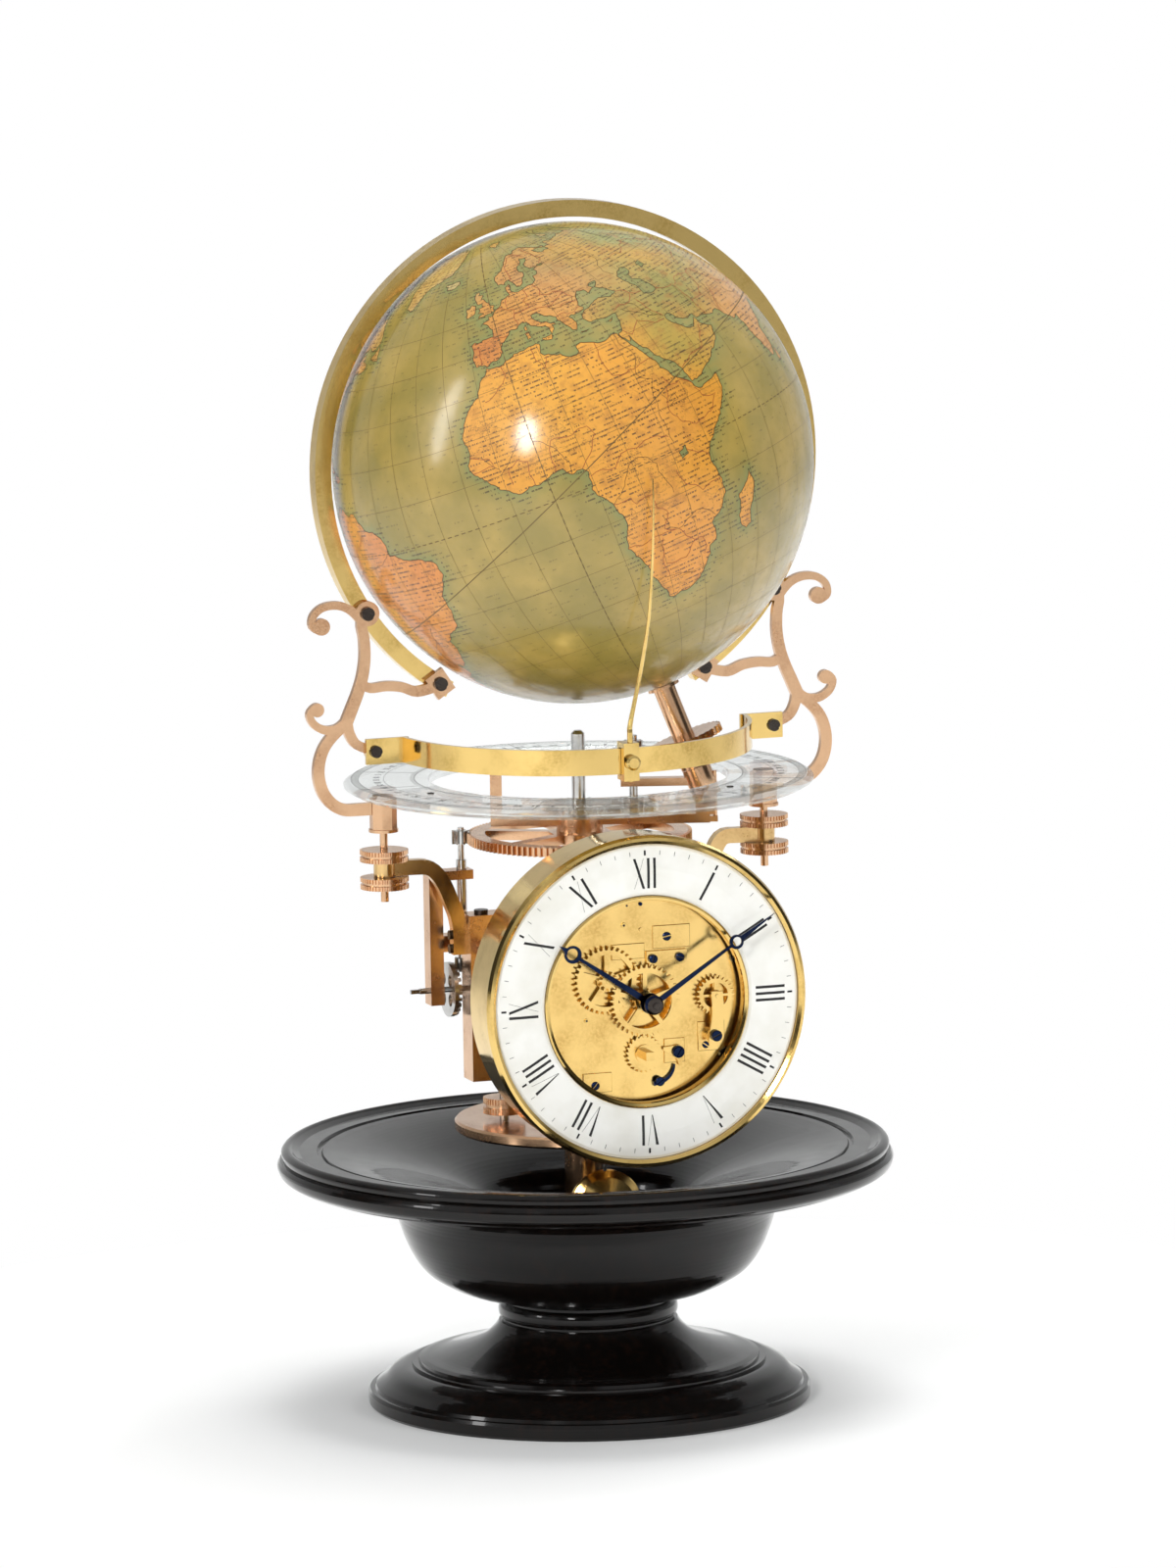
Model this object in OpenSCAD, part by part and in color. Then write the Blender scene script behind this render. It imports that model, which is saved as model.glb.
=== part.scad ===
// Astronomical mantel clock: a turned black base carries a skeleton movement,
// a calendar ring of glass and a tilted globe inside an open brass hoop.
// Units are millimetres. +Z is up, the dial faces -Y, and the origin is the
// centre of the foot on the table.

/* [Base] */

// Outside diameter of the turned foot
foot_d = 190.6; // [188:0.2:194]
// Widest diameter of the dish rim
rim_d = 265.4; // [262:0.2:270]
// Diameter of the seat for a glass dome
seat_d = 246; // [242:0.5:248]

/* [Movement] */

// Outside diameter of the dial bezel
bezel_d = 142.6; // [140:0.2:146]
// Diameter of the movement plates
plate_d = 100; // [98:0.5:102]
// Diameter of the pendulum bob
bob_d = 33.2; // [30:0.2:34]
// Teeth of the winding ratchet
ratchet_teeth = 24; // [20:4:28]

/* [Calendar and globe] */

// Outside diameter of the glass calendar ring
glass_d = 201.6; // [198:0.2:202]
// Thickness of the glass calendar ring
glass_t = 4; // [3.5:0.1:4.2]
// Diameter of the globe
globe_d = 206; // [200:0.5:206.5]
// Tilt of the globe arbor from the vertical
globe_tilt = 20.8; // [20:0.1:21.5]
// Width of the brass hoop, front to back
hoop_w = 8; // [6:0.5:9]

/* [Fits] */

// Radial clearance of a shaft in its hole
fit = 0.05; // [0.03:0.01:0.08]

/* [Hidden] */

$fn = 72;

black_wood = [0.05, 0.04, 0.04];
bronze = [0.66, 0.50, 0.36];
brass = [0.80, 0.64, 0.34];
gilt = [0.85, 0.68, 0.38];
steel = [0.62, 0.62, 0.62];
blued = [0.10, 0.14, 0.30];
dark_steel = [0.20, 0.19, 0.20];
enamel = [0.95, 0.95, 0.93];
clear_glass = [0.75, 0.86, 0.82, 0.4];
map_gold = [0.72, 0.58, 0.28];

foot_r = foot_d / 2;
rim_r = rim_d / 2;
seat_r = seat_d / 2;
bolt_r = 4;
foot_h = 46;
well_floor = 64;
well_r = 44.5;
rim_h = 113;
deck_z = 119;
deck_t = 5;
deck_top = deck_z + deck_t;
column_r = 9;

// Yoke and the movement hung in front of it
dial_z = 187;
yoke_w = 50;
yoke_d = 13;
yoke_z0 = 142;
yoke_z1 = 208;
plate_r = plate_d / 2;
back_y = -33.5;
back_t = 2.5;
front_y = -77;
front_t = 3;
front_face = front_y - front_t;
bezel_r = bezel_d / 2;
bezel_y = -88;

// Toothed wheels of the going train, as counts, modules and centres
train_m = 0.7;
centre_m = 0.58;
great_n = 56;
centre_pn = 10;
centre_n = 63;
third_pn = 10;
takeoff_n = 47;
third_n = 64;
escape_pn = 8;
escape_n = 30;
cannon_n = 12;
minute_n = 36;
minute_pn = 10;
hour_n = 40;
motion_m = 0.78125;
hour_m = 0.75;
barrel_c = [0, -(great_n + centre_pn) * train_m / 2];
third_a = 135;
third_l = (centre_n + third_pn) * centre_m / 2;
third_c = third_l * [cos(third_a), sin(third_a)];
takeoff_c = [(centre_n + takeoff_n) * centre_m / 2, 0];
escape_c = [0, 30];
pallet_c = [0, 41];
third_escape = norm(escape_c - third_c);
third_m = 2 * third_escape / (third_n + escape_pn);
motion_l = (cannon_n + minute_n) * motion_m / 2;
motion_a = 150;
motion_c = motion_l * [cos(motion_a), sin(motion_a)];
click_c = [15.1, -23.2];
pillar_angles = [20, 160, 215, 325];

// Pendulum
pend_y = -26;
pend_z = dial_z + pallet_c[1];
bob_z = 88;
bob_r = bob_d / 2;

// Upper works
arm_x = 86;
arm_y = 6.5;
head_z0 = 253.5;
head_z1 = 268;
glass_r = glass_d / 2;
glass_hole = 64;
globe_r = globe_d / 2;
globe_z = 407;
hoop_in = globe_r + 2.6;
hoop_out = hoop_in + 7.2;
hoop_mid = (hoop_in + hoop_out) / 2;
hoop_y = 8;
screw_angles = [33.1, 57.1];
plate_y = 5;
strap_z0 = 282;
strap_z1 = 293;
strap_r = 77;
strap_cy = 10;
strap_boss = [89.8, 287.5];
clamp_x = 0;

// Year wheel, its carrier and the tilted arbor
carrier_a = -18.3;
annual_n = 112;
drive_pn = 8;
drive_xy = [-48, 17.2];
annual_l = norm(drive_xy);
annual_m = 2 * annual_l / (annual_n + drive_pn);
annual_z = 243.7;
annual_t = 4;
post_r = 5;
day_r = 2.95;
crown_s = 23.5;
crown_r = 1.8;
day_n = 30;
crown_pn = 17;
day_m = 2 * crown_s / (day_n + crown_pn);
globe_wn = 32;
crown_tn = 10;
bar_z0 = 251;
bar_z1 = 255;
wheel_local = -129;
set_z = 180;
set_x = -53.7;

// Angle that puts a follower in mesh with a wheel of n1 teeth whose tooth
// stands at angle p1, seen along the line of centres at angle a
function mesh_phase(p1, n1, n2, a) = a + 180 + 180 / n2 + (a - p1) * n1 / n2;

// Points of a toothed rim: straight flanks that narrow from root to tip
function rim_points(n, ro, ri, root, tip) = [for (i = [0:n - 1]) each [
  for (k = [[-root, ri], [-tip, ro], [tip, ro], [root, ri]])
    k[1] * [cos(360 / n * (i + k[0])), sin(360 / n * (i + k[0]))]]];

// Saw teeth, as a ratchet or an escape wheel has
function saw_points(n, ro, ri) = [for (i = [0:n - 1]) each [
  ri * [cos(360 / n * i), sin(360 / n * i)],
  ro * [cos(360 / n * (i + 0.12)), sin(360 / n * (i + 0.12))],
  ro * [cos(360 / n * (i + 0.24)), sin(360 / n * (i + 0.24))]]];

// Smooth curve through points, four steps to a span
function curve_at(a, b, c, d, t) = 0.5 * (2 * b + (c - a) * t
  + (2 * a - 5 * b + 4 * c - d) * t * t
  + (3 * b - a - 3 * c + d) * t * t * t);
function curve(p) = [for (i = [0:len(p) - 2]) each
  [for (t = [0:0.25:i == len(p) - 2 ? 1 : 0.8])
    curve_at(p[max(i - 1, 0)], p[i], p[i + 1], p[min(i + 2, len(p) - 1)], t)]];
function side(p, i) = let (v = p[min(i + 1, len(p) - 1)] - p[max(i - 1, 0)])
  [-v[1], v[0]] / norm(v);

// Flat ribbon along a curve, with a width at each end
module ribbon(points, w0, w1) {
  p = curve(points);
  n = len(p) - 1;
  polygon(concat(
    [for (i = [0:n]) p[i] + side(p, i) * (w0 + (w1 - w0) * i / n) / 2],
    [for (i = [n:-1:0]) p[i] - side(p, i) * (w0 + (w1 - w0) * i / n) / 2]));
}

// Solid drawn in the dial's plane: x to the right, y up, height towards the front
module facing(c, y0, y1) {
  translate([c[0], y0, dial_z + c[1]])
    rotate([90, 0, 0])
      linear_extrude(y0 - y1)
        children();
}

module rod_y(c, y0, y1, r) {
  translate([c[0], y0, dial_z + c[1]])
    rotate([90, 0, 0])
      cylinder(h = y0 - y1, r = r);
}

module rod_x(x0, x1, y, z, r) {
  translate([x0, y, z])
    rotate([0, 90, 0])
      cylinder(h = x1 - x0, r = r);
}

module toothed(n, m, phase) {
  rotate(phase)
    polygon(rim_points(n, m * (n / 2 + 0.8), m * (n / 2 - 1.15), 0.27, 0.11));
}

// Wheel with crossings: a toothed rim, five spokes and a hub
module crossed_wheel(n, m, phase, rim, hub, spokes) {
  difference() {
    toothed(n, m, phase);
    difference() {
      circle(r = m * (n / 2 - 1.15) - rim);
      circle(r = hub);
      for (i = [0:spokes - 1])
        rotate(360 / spokes * i + 90)
          translate([0, -hub * 0.22])
            square([m * n, hub * 0.44]);
    }
  }
}

module slotted_head_y(x, z, y, r, h) {
  difference() {
    translate([x, y, z])
      rotate([90, 0, 0])
        cylinder(h = h, r = r);
    translate([x, y - h, z])
      rotate([0, 25, 0])
        cube([r * 3, h * 0.9, r * 0.3], center = true);
  }
}

// Turned foot with an ogee, a hollow cove and a collar, recessed beneath
module foot() {
  k = foot_r / 95.3;
  color(black_wood)
    difference() {
      rotate_extrude($fn = 120)
        polygon(concat(
          [[bolt_r + fit, 8], [60, 8], [64, 0], [foot_r - 1, 0], [foot_r, 1.2],
            [foot_r, 5.6], [foot_r - 0.8, 7], [foot_r - 2.6, 7.2]],
          curve([[92 * k, 8.6], [88.4 * k, 11.4], [84.8 * k, 14.6],
            [80 * k, 16.6], [76.4 * k, 17]]),
          [[76.4 * k, 18.2], [73.6 * k, 18.2], [73.3 * k, 19.6]],
          curve([[70.6, 20.3], [64, 21.5], [54, 24.5], [46, 28], [41, 32],
            [38.5, 35.6]]),
          [[36.8, 35.8], [36.8, 36.8]],
          curve([[37.6, 37], [38.6, 39], [38.6, 42], [37.6, 44]]),
          [[36.6, 44.2], [36.6, foot_h], [bolt_r + fit, foot_h]]));
      translate([0, 0, -1])
        cylinder(h = foot_h + 2, r = bolt_r + fit);
    }
}

// Bowl and broad dish, with the pendulum well and a seat for the dome
module bowl() {
  color(black_wood)
    rotate_extrude($fn = 120)
      polygon(concat(
        [[bolt_r + fit, foot_h], [40, foot_h]],
        curve([[45, 47.6], [55.2, 50.1], [65.7, 55.3], [71.6, 60.4],
          [76.4, 68.1], [79.6, 75.9], [82.5, 84], [88, 90.5], [100, 94.6],
          [112, 96.6]]),
        [[rim_r - 10, 97.4], [rim_r - 8.6, 98.6]],
        curve([[rim_r - 5.4, 99], [rim_r - 1.4, 101.4], [rim_r, 105],
          [rim_r - 1.2, 107.6]]),
        [[rim_r - 2.6, 108]],
        curve([[rim_r - 2, 109], [rim_r - 1.8, 111], [rim_r - 3.2, 112.6],
          [rim_r - 5, rim_h], [rim_r - 6.6, 112.2]]),
        [[seat_r, 111], [seat_r - 7.4, 111], [seat_r - 8, 109.6],
          [seat_r - 9.4, 109.6], [seat_r - 10, 110.6]],
        curve([[110, 110.3], [100, 108.8], [88, 106.2], [76, 102.8],
          [60, 97.2], [50, 91.8], [46, 88], [well_r, 84]]),
        [[well_r, well_floor], [bolt_r + fit, well_floor]]));
}

// Bolt that clamps foot and bowl together, with its round nut underneath
module tie_bolt() {
  color(dark_steel) {
    translate([0, 0, 4])
      cylinder(h = well_floor - 4 + 5, r = bolt_r);
    translate([0, 0, 3.5])
      cylinder(h = 4.5, r = 9, $fn = 6);
  }
}

// Bronze column on a turned foot, standing in the well
module column() {
  color(bronze)
    difference() {
      rotate_extrude()
        polygon([[0, well_floor], [15, well_floor], [15, well_floor + 3],
          [11.5, well_floor + 5], [column_r, well_floor + 8],
          [column_r, deck_z - 7], [column_r + 2.5, deck_z - 4],
          [column_r + 2.5, deck_z], [0, deck_z]]);
      translate([0, 0, well_floor - 1])
        cylinder(h = 7, r = bolt_r + fit);
    }
}

// Round platform with a notch in front for the pendulum rod
module platform() {
  color(bronze)
    difference() {
      rotate_extrude()
        polygon([[0, deck_z], [55, deck_z], [56, deck_z + 1],
          [56, deck_top - 1], [55, deck_top], [0, deck_top]]);
      translate([-14, -60, deck_z - 1])
        cube([28, 46 - 14, deck_t + 2]);
      translate([0, -28, deck_z - 1])
        cylinder(h = deck_t + 2, r = 14);
      for (x = [-35, 35])
        translate([x, 4, deck_z - 1])
          cylinder(h = deck_t + 2, r = 2 + fit);
    }
}

// Levelling spindles that stand on the platform and carry the yoke
module level_spindles() {
  color(steel)
    for (x = [-35, 35])
      translate([x, 4, 0]) {
        translate([0, 0, deck_z - 3])
          cylinder(h = yoke_z1 - 62 - deck_z + 1, r = 2);
        translate([0, 0, deck_z - 3])
          cylinder(h = 3, r = 4.5, $fn = 6);
        translate([0, 0, yoke_z0 - 1.6])
          cylinder(h = 1.6, r = 5);
      }
}

// Knurled disc nut: a waist between two milled edges
module knurled(r, h, bore, beads) {
  difference() {
    union() {
      for (z = [0, h * 0.62])
        translate([0, 0, z])
          linear_extrude(h * 0.38)
            polygon(rim_points(beads, r, r - 0.55, 0.34, 0.16));
      cylinder(h = h, r = r - 1.1);
    }
    translate([0, 0, -1])
      cylinder(h = h + 2, r = bore);
  }
}

module level_nut(x) {
  color(bronze)
    translate([x, 4, deck_top + 3])
      knurled(9, 7, 2 + fit, 40);
}
module level_nut_left() {
  level_nut(-35);
}
module level_nut_right() {
  level_nut(35);
}

// Yoke: one plate with a round opening, standing on the two spindles
module yoke() {
  color(bronze)
    difference() {
      translate([0, yoke_d, 0])
        rotate([90, 0, 0])
          linear_extrude(yoke_d)
            difference() {
              translate([-yoke_w, yoke_z0])
                square([2 * yoke_w, yoke_z1 - yoke_z0]);
              translate([0, dial_z])
                circle(r = 37.5);
              translate([-29, dial_z])
                square([58, 40]);
            }
      for (x = [-35, 35])
        translate([x, 4, yoke_z0 - 1])
          cylinder(h = 5.5, r = 2 + fit);
    }
}

// Bridge across the yoke, with the fixed post that centres the year wheel
module bridge() {
  color(bronze)
    difference() {
      union() {
        translate([-yoke_w, 0, yoke_z1])
          cube([2 * yoke_w, yoke_d, 6]);
        translate([0, 0, yoke_z1])
          cylinder(h = 6, r = 12);
        translate([0, 0, yoke_z1 + 6])
          cylinder(h = annual_z - yoke_z1 - 6.3, r1 = 8.5, r2 = 7.5);
        translate([0, 0, annual_z - 1])
          cylinder(h = bar_z1 - annual_z + 0.4, r = post_r);
      }
      translate([0, 0, yoke_z1 - 1])
        cylinder(h = 60, r = day_r + fit);
    }
}

module spacers() {
  color(bronze)
    for (x = [-44, 44], z = [-12, 12])
      rod_y([x, z], 0, back_y, 3.4);
}

// Back plate of the movement
module back_plate() {
  color(gilt)
    facing([0, 0], back_y, back_y - back_t)
      difference() {
        circle(r = plate_r, $fn = 96);
        circle(r = 1.2 + fit);
        translate(barrel_c)
          circle(r = 1.5 + fit);
        for (c = [third_c, takeoff_c, escape_c])
          translate(c)
            circle(r = 0.8 + fit);
        translate(pallet_c)
          circle(r = 1 + fit);
      }
}

// Front plate, seen through the opening of the dial
module front_plate() {
  color(gilt)
    facing([0, 0], front_y, front_face)
      difference() {
        circle(r = plate_r, $fn = 96);
        circle(r = 1.2 + fit);
        translate(barrel_c)
          circle(r = 1.5 + fit);
        for (c = [third_c, takeoff_c, escape_c])
          translate(c)
            circle(r = 0.8 + fit);
        translate(pallet_c)
          circle(r = 0.8 + fit);
      }
  color(gilt)
    rod_y(motion_c, front_y - 1, front_y - 7.7, 1);
}

// Pillars between the plates, and the feet that carry the dial
module plate_pillars() {
  color(brass) {
    for (a = pillar_angles)
      let (c = 45 * [cos(a), sin(a)])
        translate([c[0], back_y - back_t, dial_z + c[1]])
          rotate([90, 0, 0])
            rotate_extrude()
              polygon([[0, 0], [2.8, 0], [2.8, 3], [2, 6], [2.6, 14],
                [2.6, 26.5], [2, 34], [2.8, 37.5],
                [2.8, back_y - back_t - front_y],
                [0, back_y - back_t - front_y]]);
    for (a = [90, 210, 330])
      rod_y(47 * [cos(a), sin(a)], front_face, -83, 1.8);
  }
}

// Bezel, drum wall and the ring that carries the enamel
module dial_drum() {
  k = bezel_r;
  color(gilt)
    translate([0, -60, dial_z])
      rotate([90, 0, 0])
        rotate_extrude($fn = 120)
          polygon([[k - 2.9, 0], [k - 1.4, 0], [k - 1.4, 22], [k, 23.5],
            [k, 26.5], [k - 0.9, 28.6], [k - 2.2, 29], [k - 3.6, 28],
            [k - 3.75, 24.5], [45.6, 24.5], [45.5, 27.4], [44.8, 28],
            [43.6, 27.4], [43.3, 26.6], [43.3, 23], [k - 2.9, 23]]);
}

// White enamel chapter ring, slightly domed
module chapter_ring() {
  color(enamel)
    translate([0, -84.5, dial_z])
      rotate([90, 0, 0])
        rotate_extrude($fn = 120)
          polygon([[45.7, 0], [bezel_r - 3.8, 0], [bezel_r - 3.8, 2],
            [bezel_r - 5, 2.6], [57, 3], [47, 2.7], [45.7, 2.2]]);
}

// Centre arbor with its wheel, the pinion beside it and the cannon pinion
module centre_wheel() {
  color(brass)
    facing([0, 0], -48, -49.6)
      crossed_wheel(centre_n, centre_m, third_a, 2.2, 4.4, 5);
  color(steel) {
    rod_y([0, 0], -32.6, -97.4, 1.2);
    rod_y([0, 0], -47, -54, 1.9);
    facing([0, 0], -54, -60.5)
      toothed(centre_pn, train_m, 90);
    rod_y([0, 0], -80.6, -94.6, 1.6);
    facing([0, 0], -80.8, -82.6)
      toothed(cannon_n, motion_m, 0);
  }
}

// Going barrel: a toothed drum that turns on the winding arbor
module barrel() {
  color(gilt) {
    difference() {
      union() {
        facing(barrel_c, -55.5, -58)
          toothed(great_n, train_m,
            mesh_phase(90, centre_pn, great_n, -90));
        rod_y(barrel_c, -58, -74, 17.6);
        rod_y(barrel_c, -74, -75, 16.6);
        rod_y(barrel_c, -53, -55.5, 6);
      }
      rod_y(barrel_c, -52, -76, 3 + fit);
    }
  }
}

// Winding arbor with its ratchet wheel and square
module winding_ratchet() {
  color(steel) {
    rod_y(barrel_c, -32.9, -52.6, 1.5);
    rod_y(barrel_c, -37.5, -76.6, 3);
    rod_y(barrel_c, -76.5, -81.2, 1.5);
    facing(barrel_c, -80.7, -82.2)
      rotate(5)
        polygon(saw_points(ratchet_teeth, 8.2, 7));
    rod_y(barrel_c, -82.2, -83, 4);
    facing(barrel_c, -83, -90)
      square(3.6, center = true);
  }
}

// Click that holds the ratchet
module click() {
  color(blued)
    facing(click_c, -80.7, -82)
      difference() {
        union() {
          circle(r = 2.9);
          polygon([[-1.2, 2.6], [-6.5, 2.2], [-6.4, 0.9], [-2, -2]]);
          polygon([[-0.8, -2.2], [2.2, -1.6], [1.6, -6], [0.6, -6]]);
        }
        circle(r = 1.4 + fit);
      }
}

// Stud of the click and the curved spring that presses on its tail
module click_spring() {
  color(blued) {
    rod_y(click_c, front_face, -82.3, 1.4);
    rod_y(click_c, -82.2, -83.2, 2.6);
    facing([0, 0], front_face, -81.6)
      ribbon([[4.2, -36.4], [8.4, -35.6], [11.4, -33.6], [13.1, -31],
        [13.6, -28.6]], 2, 0.7);
    rod_y([6.7, -35.4], -81.6, -82.6, 2);
  }
}

// Hour wheel and its pipe, which carries the hour hand
module hour_wheel() {
  color(gilt)
    difference() {
      union() {
        facing([0, 0], -83.2, -84.6)
          crossed_wheel(hour_n, hour_m,
            mesh_phase(mesh_phase(0, cannon_n, minute_n, motion_a) + 180,
              minute_pn, hour_n, motion_a + 180), 2.2, 4.4, 5);
        rod_y([0, 0], -83.2, -92.4, 2.5);
      }
      rod_y([0, 0], -82, -94, 1.6 + fit);
    }
}

// Minute wheel and pinion of the motion work
module motion_wheel() {
  color(gilt)
    difference() {
      union() {
        facing(motion_c, -81, -82.4)
          crossed_wheel(minute_n, motion_m,
            mesh_phase(0, cannon_n, minute_n, motion_a), 2, 4.2, 5);
        facing(motion_c, -82.4, -84.5)
          toothed(minute_pn, hour_m,
            mesh_phase(0, cannon_n, minute_n, motion_a) + 180);
      }
      rod_y(motion_c, -80, -86, 1 + fit);
    }
}

// Third wheel between the plates
module third_wheel() {
  p = mesh_phase(third_a, centre_n, third_pn, third_a);
  color(brass)
    facing(third_c, -62, -63.4)
      crossed_wheel(third_n, third_m, 0, 2, 3.6, 5);
  color(steel) {
    rod_y(third_c, -32.8, -80.6, 0.8);
    rod_y(third_c, -38, -75, 1.4);
    facing(third_c, -45.5, -52)
      toothed(third_pn, centre_m, p);
  }
}

// Wheel at the right of the opening, on an arbor driven by the centre wheel
module takeoff_wheel() {
  color(gilt)
    facing(takeoff_c, -82, -83.4)
      crossed_wheel(24, 0.66, 0, 1.6, 2.4, 4);
  color(steel) {
    rod_y(takeoff_c, -32.8, -86, 0.8);
    rod_y(takeoff_c, -38, -75, 1.6);
  }
  color(brass)
    facing(takeoff_c, -48, -49.6)
      crossed_wheel(takeoff_n, centre_m,
        mesh_phase(third_a, centre_n, takeoff_n, 0), 2, 3.6, 5);
}

// Escape wheel with its saw teeth
module escape_wheel() {
  d = escape_c - third_c;
  a = atan2(d[1], d[0]);
  color(brass)
    facing(escape_c, -43, -44.2)
      difference() {
        polygon(saw_points(escape_n, 8, 6.7));
        difference() {
          circle(r = 5.9);
          circle(r = 1.9);
          for (i = [0:3])
            rotate(90 * i)
              translate([0, -0.5])
                square([7, 1]);
        }
      }
  color(steel) {
    rod_y(escape_c, -32.8, -80.6, 0.8);
    rod_y(escape_c, -38, -75, 1.3);
    facing(escape_c, -60.5, -65)
      toothed(escape_pn, third_m, mesh_phase(0, third_n, escape_pn, a));
  }
}

// Anchor pallets on their arbor, with the crutch behind the back plate
module pallets() {
  color(blued)
    facing(pallet_c, -42.8, -44.4)
      difference() {
        union() {
          circle(r = 2.4);
          ribbon([[0, 1], [-4.4, 0], [-8, -3.6], [-9.1, -7.4]], 2.4, 1.4);
          ribbon([[0, 1], [4.4, 0], [8, -3.6], [9.1, -7.4]], 2.4, 1.4);
        }
        translate([0, -11])
          circle(r = 9);
      }
  color(steel) {
    rod_y(pallet_c, -31, -35, 1);
    rod_y(pallet_c, -34.5, -80.6, 0.8);
    rod_y(pallet_c, -37, -76, 1.3);
    facing(pallet_c, -30.2, -31.4)
      union() {
        circle(r = 2.2);
        translate([-0.9, -26])
          square([1.8, 26]);
        translate([-2.4, -28])
          square([4.8, 2.4]);
      }
    for (x = [-2, 2])
      rod_y([x, pallet_c[1] - pallet_c[1] + 14.2], -23.6, -30.4, 0.6);
  }
}

// Cock on the back plate that holds the pendulum's suspension spring
module suspension_cock() {
  color(bronze) {
    difference() {
      translate([-6, -29.7, pend_z - 0.8])
        cube([12, 7.7, 7]);
      translate([-0.35, -31, pend_z - 2])
        cube([0.7, 10, 3.8]);
    }
    for (x = [-8.9, 5.9])
      translate([x, back_y, pend_z - 0.8])
        rotate([90, 0, 0])
          translate([0, 0, -11.5])
            cube([3, 7, 11.5]);
  }
}

// Pendulum: suspension spring, hook, rod, lens bob and rating nut
module pendulum_rod() {
  color(steel) {
    translate([-0.15, pend_y - 2.5, pend_z - 6])
      cube([0.3, 5, 7.2]);
    translate([-1.8, pend_y - 3, pend_z - 12])
      cube([3.6, 6, 6.2]);
    translate([0, pend_y, bob_z - bob_r - 7])
      cylinder(h = pend_z - 11.9 - bob_z + bob_r + 7, r = 1);
  }
}

module pendulum_bob() {
  color(gilt)
    difference() {
      translate([0, pend_y, bob_z])
        rotate([90, 0, 0])
          rotate_extrude($fn = 96)
            polygon([[0, -5.8], [3, -5.8], [bob_r * 0.45, -4.9],
              [bob_r * 0.8, -2.8], [bob_r - 0.6, -0.9], [bob_r, -0.3],
              [bob_r, 0.3], [bob_r - 0.6, 0.9], [bob_r * 0.8, 2.8],
              [bob_r * 0.45, 4.9], [3, 5.8], [0, 5.8]]);
      translate([0, pend_y, bob_z - 20])
        cylinder(h = 40, r = 1 + fit);
    }
}

module rating_nut() {
  color(gilt)
    translate([0, pend_y, bob_z - bob_r - 3.4])
      knurled(3.6, 3, 1 + fit, 20);
}

// Tapered clock hand with an open moon near its tip
module moon_hand(length, moon_l, moon_ri, moon_ro, w) {
  difference() {
    union() {
      polygon([[-w, 0], [w, 0], [w * 0.45, moon_l - moon_ro + 0.6],
        [-w * 0.45, moon_l - moon_ro + 0.6]]);
      translate([0, moon_l])
        circle(r = moon_ro);
      polygon([[-w * 0.9, moon_l + moon_ro - 0.7],
        [w * 0.9, moon_l + moon_ro - 0.7], [0, length]]);
    }
    translate([0, moon_l + 0.35])
      circle(r = moon_ri);
  }
}

module hour_hand() {
  color(blued)
    facing([0, 0], -90.6, -91.5)
      difference() {
        union() {
          circle(r = 4.4);
          rotate(55.7)
            moon_hand(48.4, 41.2, 2.5, 3.8, 1.5);
        }
        circle(r = 2.5);
      }
}

module minute_hand() {
  color(blued)
    facing([0, 0], -94.6, -95.5)
      difference() {
        union() {
          circle(r = 3.6);
          rotate(-57.1)
            moon_hand(65.3, 44.8, 2, 3.1, 1.2);
        }
        circle(r = 1.2);
      }
  color(gilt)
    translate([0, -95.5, dial_z])
      rotate([90, 0, 0])
        difference() {
          rotate_extrude()
            polygon([[0, 0], [4.2, 0], [4.2, 0.9], [3.2, 2], [1.6, 2.6],
              [0, 2.8]]);
          translate([0, 0, -1])
            cylinder(h = 2.9, r = 1.2);
        }
}

// Cock that carries the front pivot of the right-hand wheel
module front_cock() {
  color(gilt)
    difference() {
      union() {
        facing([0, 0], -84, -85.6)
          ribbon([[30.6, -20], [30.9, -16.8], [32.2, -8], takeoff_c,
            takeoff_c + [0, 2]], 5.6, 5);
        facing([30.9, -16.8], front_face, -84.1)
          circle(r = 3.4);
        facing([11, 17.4], front_face, -81.6)
          square([18, 6.2], center = true);
      }
      rod_y(takeoff_c, -83, -87, 0.8 + fit);
    }
}

// Bronze arm from the yoke out to the eye round a pillar
module side_arm(s, lift) {
  color(bronze)
    difference() {
      union() {
        translate([0, arm_y + 2.5, 0])
          rotate([90, 0, 0])
            linear_extrude(5) {
              ribbon([[s * (arm_x - 3), 236.2 + lift], [s * 74, 236.2 + lift],
                [s * 66, 235.2 + lift], [s * 60.5, 229], [s * 57, 221],
                [s * 54.4, 214.4], [s * 53.3, 209]], 6.4, 6.4);
              translate([s * (yoke_w + 3.2) - 3.2, 197])
                square([6.4, 13]);
            }
        translate([s * arm_x, arm_y, 233 + lift])
          cylinder(h = 6.4, r = 4.6);
      }
      translate([s * arm_x, arm_y, 220])
        cylinder(h = 40, r = 1.7 + fit);
    }
}
module arm_left() {
  side_arm(-1, 0);
}
module arm_right() {
  side_arm(1, 4);
}

// Threaded pillar with an eight-sided head on which the glass rests
module pillar(s, lift) {
  color(bronze) {
    translate([s * arm_x, arm_y, head_z0])
      rotate(22.5)
        cylinder(h = head_z1 - head_z0 - 1, r = 5.85, $fn = 8);
    translate([s * arm_x, arm_y, head_z1 - 1])
      cylinder(h = 1, r = 4.6);
    translate([s * arm_x, arm_y, head_z0 - 1.2])
      cylinder(h = 1.2, r = 6.4);
  }
  color(steel)
    translate([s * arm_x, arm_y, 222 + lift])
      cylinder(h = head_z0 - 222 - lift, r = 1.7);
}
module pillar_left() {
  pillar(-1, 0);
}
module pillar_right() {
  pillar(1, 4);
}

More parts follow.
